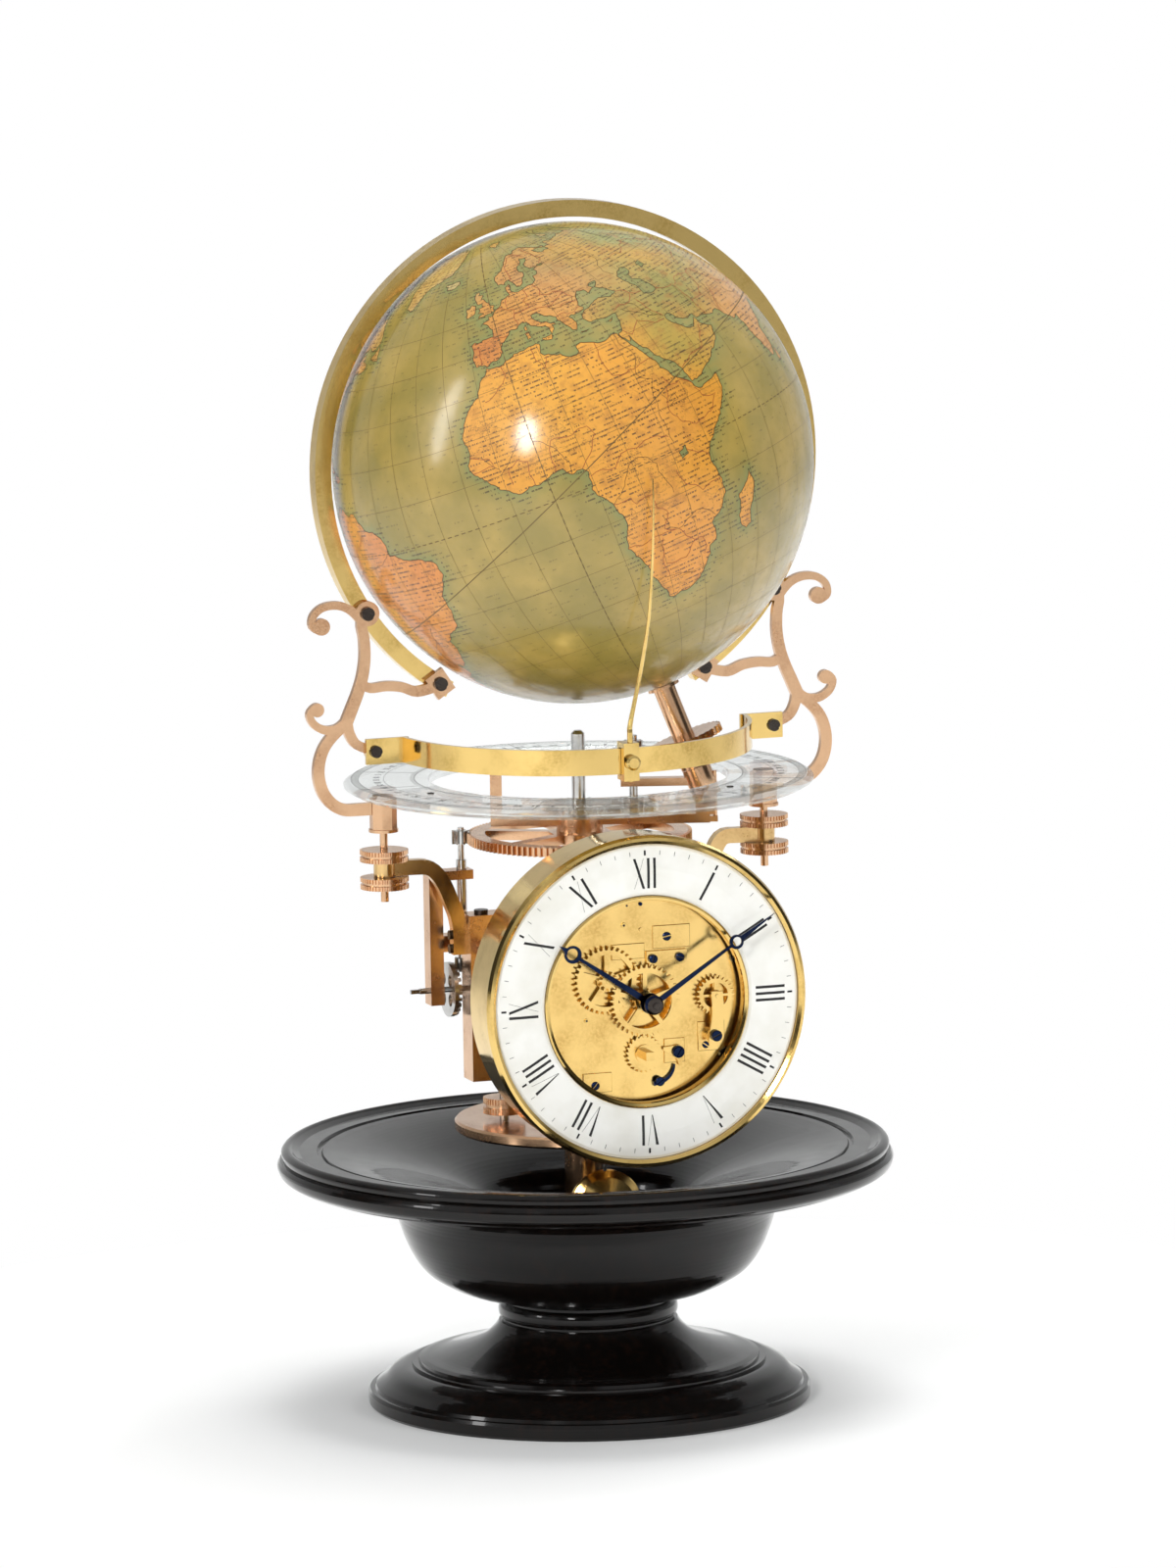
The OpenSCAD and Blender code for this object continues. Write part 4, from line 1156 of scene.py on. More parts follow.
COASTS: dict[str, str] = {
    "africa": (
        "-6,35.8 -2,35.1 0,35.9 3,36.9 7,37 10,37.3 11,36.8 10.2,34.5 11,33.5 13,32.9 15.2,32.3 16,31.3 "
        "19,30.3 20.1,31 20,32.5 21.8,32.9 23.2,32.3 25,31.6 29,30.9 31,31.5 32.3,31.2 32.5,29.9 33.5,28 "
        "35,25 35.6,23.9 37.2,21 37.3,19 38.5,17.9 39.6,15.5 41.2,14.5 43.1,12.5 43.3,11.5 45,10.5 49,11.3 "
        "51.2,11.9 50.8,9.5 49,6 47,4 44,1.2 42,-1 40,-3 39.2,-5 39.4,-7 40,-9 40.6,-11 40.6,-14.5 "
        "39,-16.8 36.5,-18.8 34.8,-20 35.5,-22 35.4,-24 32.9,-25.5 32.8,-27.5 31,-29.8 28.5,-32.8 25.7,-34 "
        "22,-34.1 20,-34.8 18.4,-34.2 18.2,-32 16.5,-28.7 15.2,-26.5 14.5,-22.8 13,-20 11.8,-17.5 "
        "12.5,-14.5 13.7,-12 13.4,-9 12.3,-6 11,-4 9.5,-2.3 8.9,-.7 9.5,1 9.7,3.5 8.7,4.6 6,4.3 4.3,6.3 "
        "1.5,6.1 -2,4.8 -4.5,5.2 -7.5,4.4 -9.5,6 -11.5,6.9 -13.2,8.8 -14.8,10.8 -16.7,12.4 -17.4,14.7 "
        "-16.4,16.2 -16.2,19 -17,21 -16,23.5 -14.4,26.2 -12.9,27.9 -10.2,29.4 -9.6,31.2 -8.5,33.2 "
        "-6.8,34.2"
    ),
    "eurasia": (
        "-5.6,36 -6.4,36.8 -8.9,37 -9.4,38.8 -8.8,41 -9.2,43.1 -8,43.7 -4,43.5 -1.6,43.4 -1.2,45.5 "
        "-2.5,47.3 -4.7,48.2 -1.6,48.7 -1.6,49.7 .2,49.5 1.7,50.9 4,51.8 5,53.2 7,53.6 8.8,53.9 8.2,55.5 "
        "8.2,57 10.5,57.7 10.3,56.3 9.8,54.8 11,54.1 14,54 16.5,54.5 19,54.4 21,55.3 21.2,57 23.5,57.2 "
        "24.3,58.3 23.6,59.2 28,59.6 30,60 27,60.5 22.8,60 21.4,61.5 22,63 25.2,65 22.2,65.8 21.5,64.5 "
        "17.5,62.3 17.2,60.7 18.8,59.8 16.6,57.5 15.8,56.1 14.2,55.4 12.9,55.6 11.3,58.8 10.5,59.3 "
        "8.2,58.1 5.6,58.8 5,61.5 8,63.5 12,65.5 15,68.3 19,69.8 25,71 31,70.4 33,69.4 41,67 40,66.3 "
        "34,66.7 32.5,67 35,64.4 38,64.8 40.5,64.6 40,65.8 44,66.2 44,68.4 48,67.7 54,68.4 60,69 68,68.5 "
        "67,71.5 70,73 73,71 74,67.5 76,72 82,73.6 90,75.5 104,77.6 113,74 127,73.4 132,71.5 141,72.6 "
        "152,71 160,69.8 170,69.5 180,68.8 190,66 182,65 179,62.5 170,60 163,58.5 162.5,56 156.7,51 156,57 "
        "163,61.8 155,59.4 143,59.2 135,54.7 141,52.5 140.3,48.5 135.5,44 131,42.8 129.5,41 127.5,39.5 "
        "129.3,37 129,35.3 126.4,34.5 126.6,37.5 124.7,39.6 121.5,39 121.9,40.8 118,39 119,37.2 122.4,37.2 "
        "119.3,35 121.8,31.8 121.5,28.5 119.5,25.5 116.5,23 113.5,22.2 110.3,21.3 108.2,21.6 106.5,20 "
        "105.8,18.6 108.8,15.5 109.3,12 106.8,10.4 104.9,8.6 104.9,10.3 102.5,12 100.9,13.4 99.9,11.5 "
        "99.2,9.5 100.5,7 103.3,4 104.2,1.4 103.4,1.4 101,3 100.3,6 98.3,8 98.6,12 97.7,15.5 96.5,17 "
        "94.3,16 94.4,18.5 92,21.5 90.5,22.5 88,21.7 86.8,20.7 85,19.5 82.3,16.7 80.2,15.4 80.2,13 "
        "79.8,10.3 78,8.3 77.3,8.2 76.2,10 74.8,13 73.4,16.5 72.8,19.5 72.7,21.5 70.5,20.9 69,22.3 "
        "67.3,24.5 66.5,25.3 61.5,25.1 57.3,25.7 56.8,27.1 54.5,26.6 51.5,27.9 50.2,30 48.6,30 48.2,29 "
        "50.1,26.5 51.5,25 54,24.2 56.3,26.2 56.8,24.2 59.8,22.4 57.8,18.9 55.2,17.4 52,15.6 48,14 45,12.8 "
        "43.4,12.8 42.7,16.5 39.5,20.6 37.2,24.7 35,28.1 34.9,29.4 34.3,27.9 32.7,29.9 32.7,31 34.2,31.3 "
        "35.5,33.8 36,36.2 34,36.2 32.3,36.1 30.5,36.6 28,36.7 26.3,38.3 26.8,39.5 29,40.5 31.4,41.2 35,42 "
        "38.3,40.9 41.5,41.6 39,44.1 37,45.3 39.2,47 35.5,46.5 36.4,45.3 33.5,44.5 33,46 30.7,46.4 "
        "28.7,44.2 27.8,42.5 28.8,41.3 26.3,40.5 24,40.8 22.8,40.4 24,38.3 23,36.5 21.7,36.9 21,38.4 "
        "19.4,40.8 19.5,42 17,43.2 14.5,45.2 12.4,45.2 12.5,44 14,42.5 16,41.8 18.4,40.2 17,40.4 17,39 "
        "15.8,38 15.8,40 13.5,41.2 11,42.4 10.2,43.9 8.6,44.3 6.5,43.1 4,43.4 3.2,42.2 .8,40.8 -.3,39.2 "
        ".1,38.6 -.8,37.6 -2.3,36.8 -4.5,36.7"
    ),
    "britain": (
        "-5.5,50.1 -3.5,50.3 1,50.8 1.4,51.3 .8,51.6 1.7,52.6 .2,53 -.2,54 -1.5,55 -2.2,56 -3.2,56 "
        "-1.9,57.5 -4,57.7 -3.1,58.6 -5,58.6 -5.8,57.4 -5.3,56 -4.8,54.7 -3,54.7 -3,53.4 -4.5,53.3 "
        "-4.2,52.3 -5.2,51.8 -3,51.5 -4.5,51.1"
    ),
    "ireland": (
        "-10,51.5 -8,51.8 -6.3,52.3 -6,53.5 -5.6,54.6 -7.3,55.3 -8.5,54.3 -10,54.2 -9.5,53.2 -9.8,52.4"
    ),
    "iceland": "-22.5,64 -18.5,63.4 -14,64.6 -14.8,66 -18,66.1 -21,66 -23.5,66.3 -24,65.4 -22,65.2",
    "spitsbergen": "12,78 17,76.6 22,78.5 27,80 20,80.4 12,79.7",
    "novaya": "52,71 57,70.7 56,73.5 61,75.5 68,76.6 66,77 57,75.7 52.5,73",
    "sicily": "12.5,38 15.6,38.2 15.1,36.7 12.6,37.5",
    "sardinia": "8.3,41 9.6,41.1 9.7,39.2 8.5,39",
    "corsica": "8.7,42.6 9.5,42.9 9.4,41.5 8.7,41.7",
    "crete": "23.6,35.5 26.2,35.2 25,34.9 23.6,35.2",
    "cyprus": "32.4,35 34.4,35.6 33,34.6",
    "madagascar": (
        "49.3,-12 50.3,-15.5 49,-19 47.3,-24.8 45.3,-25.5 43.6,-23.5 43.4,-21.5 44.4,-19.8 44.4,-16.5 "
        "46,-15.8 47.8,-14.5"
    ),
    "ceylon": "80,9.7 81.3,8.5 81.7,7 80.6,6 79.9,7",
    "honshu": (
        "131,34.3 133,35.5 136,35.8 137,37.3 139.5,38.5 140,40.5 141.3,41.4 142,39.5 140.9,37 140.6,35.6 "
        "138.5,34.8 137,34.6 135.5,33.5 133,34.3"
    ),
    "hokkaido": "140.2,42 140.5,43.3 141.8,45.4 144,44.1 145.4,43.3 143.2,42",
    "kyushu": "130,33.5 131.7,33.5 131.3,31.5 130.3,31.3",
    "sakhalin": "142,46 143.5,49.3 142.8,54 142,52 142,48",
    "taiwan": "121.6,25.1 120.9,22 120.2,23.2",
    "luzon": "120.5,18.4 122.2,18.4 121.5,16 123.8,13.8 124,12.6 121,13.7 120,16",
    "mindanao": "122,7 123.5,8.6 125.5,9.7 126.4,7.5 125.5,6 124,6.3",
    "borneo": (
        "109.2,1.8 111,1.5 113.5,3.6 115.5,5.5 117,7 119,5 117.8,3.5 118,1 116.5,-1 116.2,-3.8 114,-3.4 "
        "110.3,-2.9 109.1,-.5"
    ),
    "sumatra": (
        "95.3,5.6 97.8,5.2 100.5,2.2 103.5,-.5 105.8,-3 105.8,-5.8 104.5,-5.8 102,-3.8 100.3,-1 98.7,1.6"
    ),
    "java": "105.3,-6.8 108.5,-6.7 112.5,-6.9 114.4,-7.8 114.3,-8.6 110,-8.1 106.5,-7.4",
    "celebes": (
        "119.5,-5.5 120.4,-5.5 120.4,-3 121.5,-2 123.3,-.9 121,-.9 120.4,.2 125,1.6 120.8,1.3 119.8,0 "
        "119,-3"
    ),
    "new_guinea": (
        "131,-.8 134,-.8 135,-3.3 138,-1.7 142,-2.9 145,-4.3 147.8,-6 150.8,-10.4 147.5,-10 144.5,-7.7 "
        "141,-9.1 138.3,-8.2 138,-5.5 133,-4 132,-2.8"
    ),
    "australia": (
        "113.7,-22.5 114.2,-26.3 113.3,-26.2 115,-30 115.7,-33.3 115,-34.3 118,-35 123.5,-33.9 126,-32.3 "
        "131.2,-31.5 134.3,-32.8 135.8,-34.8 137.8,-32.8 138.2,-35 140.5,-38 143.5,-38.8 146.4,-39 "
        "150,-37.3 151.5,-33 153.4,-29 153,-25.3 150.8,-23.3 149,-20.4 146.2,-18.8 145.4,-15.2 143.7,-14.3 "
        "142.5,-10.8 141.6,-13.5 140.9,-17.3 139,-17.3 135.5,-15 136.8,-12.2 132.5,-11.3 130.3,-12.8 "
        "129.3,-14.9 126,-13.9 122.3,-17.5 119,-20 116.8,-20.6"
    ),
    "tasmania": "144.8,-40.8 148.3,-40.9 147.9,-43 146,-43.5 145.3,-42.4",
    "zealand_north": "172.7,-34.4 175.5,-36.5 178.4,-37.7 177,-39.5 175.3,-41.5 173.9,-39.3 174.7,-38",
    "zealand_south": "172.7,-40.6 174.2,-41.7 172.8,-43.7 170.8,-45.8 168.4,-46.6 166.5,-45.8 170,-43.1",
    "north_america": (
        "-168,65.6 -161,66.3 -166,68.4 -156.5,71.3 -141,69.6 -128,70.2 -115,68.5 -108,68 -95,69 -94,72 "
        "-85,69.7 -81.5,68.5 -86,66.5 -88,64.2 -94,61 -94.5,58.7 -90,57 -82.3,55.1 -81,51.5 -79,51.5 "
        "-79,54.5 -76.7,56.5 -78.5,59 -77.5,62.4 -70,61 -66,58.5 -64,60.2 -61.5,57 -57,53.5 -56,52 "
        "-60,50.2 -66.5,50.2 -70.5,47.2 -65,49.2 -64.8,47 -61,46.5 -61,45.3 -66,43.6 -66.5,45 -70,43.8 "
        "-70.5,41.8 -74,40.7 -74.5,39.2 -76,38 -75.8,36 -77.8,34 -81,31.8 -81.3,29.5 -80.1,26.8 -80.6,25.2 "
        "-81.8,26.2 -82.8,28 -83.8,30 -86,30.4 -89.5,30.3 -90.5,29.2 -94,29.6 -97.2,27.8 -97.6,24 "
        "-97.5,21.5 -95.5,18.7 -92,18.6 -90.4,21 -87,21.5 -87.8,18.3 -88.7,15.8 -84,15.9 -83.3,14.8 "
        "-83.7,11 -82,9 -79.5,9.5 -77.6,8.7 -77.9,7.4 -80,8.5 -80.5,7.3 -83,8.3 -85.7,10 -87.5,12.8 "
        "-91.5,13.9 -94.5,16.2 -99.5,16.6 -105,19.4 -105.5,21.5 -109.4,25.7 -112.8,30.2 -114.8,31.6 "
        "-112.5,28 -109.5,23 -112.2,25.5 -115,28 -117.1,32.4 -120.6,34.5 -122.5,37.5 -124.3,40.4 -124,46.5 "
        "-123,49 -127.5,51.5 -130.5,54.5 -135,58.5 -141,60 -148,60.8 -152,59.5 -158,56.5 -163,54.8 -158,58 "
        "-162,59.5 -166,61.8 -161,64.2"
    ),
    "newfoundland": "-59.3,47.7 -55.8,51.5 -53,47 -56,47.2",
    "greenland": (
        "-73,78.2 -66,80 -50,82.3 -32,83.5 -20,81.5 -18,77 -20,73.5 -23,70.2 -32,68 -40,65 -43,60 -48.5,61 "
        "-53,66 -54.5,70 -58,74.8 -68,76"
    ),
    "baffin": "-61.5,66.5 -68,70.5 -80,73.5 -88,73 -84,70.4 -74,68 -73,65 -65,62.5",
    "cuba": "-84.8,21.9 -82,23.1 -77.5,21.9 -74.3,20.2 -77.3,19.9 -78.5,21 -82,22.3",
    "hispaniola": "-74.3,18.4 -73,19.9 -69.8,19.6 -68.5,18.4 -71.2,17.8",
    "south_america": (
        "-77.2,8.5 -75.5,10.6 -74,11.2 -72,12 -71.5,10.8 -70,12 -68,10.7 -62,10.6 -60.5,8.5 -57.5,6.2 "
        "-54,5.8 -51.5,4.2 -50,1.5 -50.3,-.5 -48,-.7 -44.5,-2.4 -41.5,-2.9 -38.5,-3.8 -35.4,-5.2 -34.9,-8 "
        "-37,-11 -39,-13.5 -39,-17.5 -40.8,-21.8 -43,-23 -46.3,-24 -48.6,-26 -48.7,-28.5 -51,-31.5 "
        "-53.5,-34 -55.5,-34.9 -58.3,-34 -57.2,-35.8 -57.6,-38 -62,-39 -62.3,-41 -65,-41 -65,-43.5 "
        "-67.5,-46 -65.8,-47.5 -69,-50.8 -68.4,-52.5 -65.5,-54.7 -69,-55.3 -72.5,-53.5 -75.3,-50.5 "
        "-75.5,-46.8 -73,-44 -73.7,-41 -73.5,-37 -71.6,-33 -71.5,-29 -70.3,-25 -70.2,-20 -71.5,-17.5 "
        "-76,-14 -77.3,-11.5 -79.7,-7 -81.2,-5 -80,-2.8 -80.8,-1 -79,1.5 -77.2,3.8 -77.7,7"
    ),
}
LAKES: dict[str, str] = {
    "caspian": (
        "47,45 49.5,46.5 53,46.8 53,45 51,44.3 50.5,42.5 52.8,41.5 53.8,39 53.9,37 51,36.8 49,37.6 "
        "49.3,40.2 47.5,43"
    ),
    "aral": "58.5,46 61,46.6 61,44.5 58.6,43.9",
    "victoria": "31.8,-1 33.8,.3 34,-2 32,-2.6",
    "superior": "-92,46.8 -88,48.8 -84.8,47 -87.5,46.6",
    "michigan": "-87.8,42 -86.6,45.8 -85.2,45.6 -86.5,42",
    "baikal": "104,51.6 109.5,55.6 110,54.5 105.8,51.6",
}
RIVERS: tuple[str, ...] = (
    "31.2,31.3 31,29 32.7,26 32.9,24 30.5,20 32.5,18 33.8,17.5 32.5,15.6 32,12 31,9 31.5,5 31.5,2",
    "32.5,15.6 34,13 35,11 37.3,12 37.4,10.5 35,10",
    "6,4.5 6.5,7 5,10 4,12 0,14.8 0,17 -3,16.5 -6,13.5 -10,10",
    "12.4,-6 15,-4.3 17.5,-1 20,1.8 23.5,1.5 25.5,-1 26,-5 27,-9",
    "36.3,-18.5 34,-16.3 30.5,-15.6 27.5,-17 25.5,-17.8 23.3,-16.5 22.5,-13",
    "16.5,-28.6 20,-28.6 24,-29.5 27.5,-30.4", "-16.5,16 -13.5,15.5 -12,13.5 -10,11.5",
    "29.5,45.2 28,45.5 26,43.8 22.7,44 19,45.2 19,47.7 16,48.3 12,48.8",
    "47,46.2 45,48.5 46,51 49,53.2 48.5,56 44,56.3 39,57.5", "48.3,30.2 46,31.5 44.3,33.3 43,36.3 40.5,38",
    "47,31 44.3,31.8 41,34.4 38.3,36.5", "67.5,24.2 68.3,27.5 71,29.5 72.5,33 74.5,35.5 78,34",
    "90,22.8 88,24.8 84,25.6 80.3,27 78.2,29.8", "121,31.9 117,30.8 113,29.6 110,30.5 105.5,29 102,27",
    "118.5,37.5 115,35.5 110.5,35 110.7,39.5 107.5,40.5 104,37",
    "-51,-.2 -54.5,-2.3 -60,-3.2 -65,-3.4 -70,-4.2 -74.5,-5.5",
    "-58.5,-34 -60.5,-32 -58.8,-27.5 -54.6,-25.5 -51.5,-21",
    "-89.8,29.8 -91.5,32 -89.5,36.8 -91,40.5 -93.5,45", "72.5,66.5 69,62 69,58.5 75,57.5 80,55 83,52.5",
    "82.5,71.5 88,65 90,60.5 93,56 92,52", "127,73 126,68 129.5,62.5 121,60 108,57",
)
BORDERS: tuple[str, ...] = (
    "-8.6,27.7 -4,30 -1.2,32.2 -1.8,35", "8.4,36.9 8.2,33 9.8,30.2 11.5,33.1", "25,31.6 25,22 34,22",
    "-16.5,16.5 -12,14.8 -11,12.5 -13.5,12.6 -16.6,12.4", "-3,5 -2.8,11 -5,12 -8,10.4 -8,7",
    "2.7,6.3 2.7,9.5 4,13.5 9.5,12.9 13.5,13.5 14.5,11 12,7.5 8.7,4.7",
    "9.8,2.3 16,2 18.5,4.5 22.5,4.2 27.3,5 30.8,3.6", "34,22 37,22", "36.3,17 37.5,14.3 40.5,14.5 43,12.5",
    "36.2,14.3 34.3,10.8 34,8.3 35.8,5.3 39,3.5 41.9,4 45,5 47.9,8 44,9 43,11.3",
    "34,-1 37.6,-3 39.2,-4.7",
    "12.3,-6 16.5,-6 17.5,-8 21.8,-7.3 22,-11 24,-12.5 22,-16.2 25,-17.7 18.5,-17.4 11.8,-17.3",
    "29.5,-4.5 30.5,-8.2 33,-9.5 34.5,-11.5 40.4,-10.6", "20,-28.4 20,-22 21,-18.3",
    "25.5,-17.8 29,-22.2 31.3,-22.3 32,-25 30.8,-26.8 32.8,-26.9",
    "20,-25 25.5,-25.6 27.5,-23.5 29.3,-22.2", "-1.8,43.3 3.1,42.4",
    "2.5,51 6,49.5 8,49 7.5,47.6 7,46 7.5,43.8", "-7,37.2 -7,41.8 -8.8,41.9", "7,53.3 6,51.8 6,50.3",
    "8.5,54.9 9.5,54.8", "14.2,53.9 14.6,51.2 12.3,50.3 13.5,48.6 13,47.6 7.6,47.5",
    "18.6,54.7 20,52 18.7,50 22.5,49.2 26.5,48.3 28.2,45.5",
    "13.5,46.5 16,46.5 18.8,45.8 21.5,46.2 26.5,48.2", "19.4,41.9 22.4,42.3 23,41.4 26.3,41.7 28,42",
    "22.5,44.2 27.2,44.1 28.5,43.8", "12,59 12,64 16,68 21,69.2 25.6,65.8",
    "28,70 29,66.5 31.5,62.8 28,60.5", "36,36.8 42.4,37.2 44.8,39.5 43.5,41.2 41.6,41.5",
    "44.8,39.5 48.8,38.4", "44.8,37.1 46,33 48,30.2", "34.3,31.2 36,29.3 40,32 44.8,29.2 47.5,29.1",
    "43,16.8 48,18.8 52,19 55,22.6 56,24.2", "54,37.3 61,36.4 61.2,31.4 61.6,25.3",
    "61.3,35.5 66.5,37.4 71.5,36.7 69.3,32 66.3,29.9 61,29.8",
    "71.5,36.8 75,37 79,32.5 82,30.2 88,27.9 97,28.3 98.7,25 101.6,21.2 106,22.8 107.9,21.6",
    "68.3,23.8 71,28 74.3,31.6",
    "73.7,39.5 80.3,43 87.5,49 98,50.2 108,49.4 119.8,49.8 127.5,49.7 131,44.8 130.6,42.5",
    "88,49 91,45 96.5,42.8 105,41.7 112,43.5 119.8,47", "50.5,51.6 61,51 71,54.2 80.5,51 87.4,49.1",
    "124.5,40 130.5,42.3", "97.8,28.2 97.5,18 98.8,10.3", "102.2,22.3 104.5,16.5 107.5,13.8",
    "-69.9,-4.3 -73,-7.5 -69.5,-11 -65.3,-11.7 -60,-15 -58,-20 -54.6,-25.6 -57.8,-30.2 -53.4,-33.8",
    "-67.2,-22.9 -70.3,-33 -71.8,-40 -72,-49 -68.5,-52.3", "-60,5 -64,2.3 -67.3,1.7 -70,-4.2",
    "-123,49 -95,49 -89.5,48 -82.5,42.3 -79,43.3 -71,45.2 -67.5,47.2",
    "-117,32.5 -106.5,31.8 -103,29 -97.3,25.9", "-141,69.6 -141,60.2", "-92.2,14.5 -90.5,17.8 -89.2,17.9",
    "129,-15 129,-31.7", "141,-16.5 141,-38", "138,-16.5 138,-26 141,-26", "141,-29 153.3,-28.5",
    "141,-34 147,-36 150,-37.4",
)
TINTS: tuple[tuple[float, float, float, str], ...] = (
    (17, 5, 34, "#d8952f"), (8, 22, 14, "#dda235"), (24, -25, 13, "#d98a2c"), (38, 8, 8, "#c88432"),
    (-58, -15, 32, "#cc7c28"), (10, 50, 9, "#b8803c"), (-4, 40, 5, "#b86e30"), (28, 50, 10, "#b58240"),
    (17, 64, 9, "#b8844a"), (44, 60, 12, "#9c8440"), (46, 24, 10, "#8f8a38"), (35, 39, 7, "#7f7e38"),
    (56, 33, 9, "#86803a"), (78, 22, 12, "#c08a44"), (105, 34, 16, "#b99548"), (80, 60, 22, "#8f9350"),
    (125, 64, 24, "#989450"), (70, 44, 11, "#9b9049"), (137, 37, 8, "#c98544"), (105, 12, 10, "#c49048"),
    (134, -25, 20, "#cb9242"), (-100, 42, 20, "#cf9a48"), (-105, 60, 22, "#b28d4e"),
    (-40, 72, 16, "#b9a566"), (-100, 20, 9, "#93944a"), (112, 0, 10, "#b9953f"), (172, -42, 8, "#cf9247"),
)


def points_of(text: str) -> list[Vector]:
    """Reads longitudes and latitudes written as pairs."""
    return [Vector(tuple(float(v) for v in pair.split(","))) for pair in text.split()]


def roughen(points: list[Vector], closed: bool, dice: random.Random, least: float = 0.55) -> list[Vector]:
    """Breaks a plain outline into small bays, as a coast has.

    Args:
        points: Longitudes and latitudes.
        closed: Whether the outline closes.
        dice: Seeded random source.
        least: Shortest piece in degrees.

    Returns:
        The finer outline.
    """
    out: list[Vector] = []
    spans = zip(points, points[1:] + points[:1]) if closed else zip(points, points[1:])
    for a, b in spans:
        chain = [a, b]
        while (chain[1] - chain[0]).length > 2 * least:
            finer = [chain[0]]
            for p, q in zip(chain, chain[1:]):
                d = q - p
                finer += [(p + q) / 2 + Vector((-d.y, d.x)) * dice.uniform(-0.13, 0.13), q]
            chain = finer
        out += chain[:-1]
    return out if closed else out + [points[-1]]


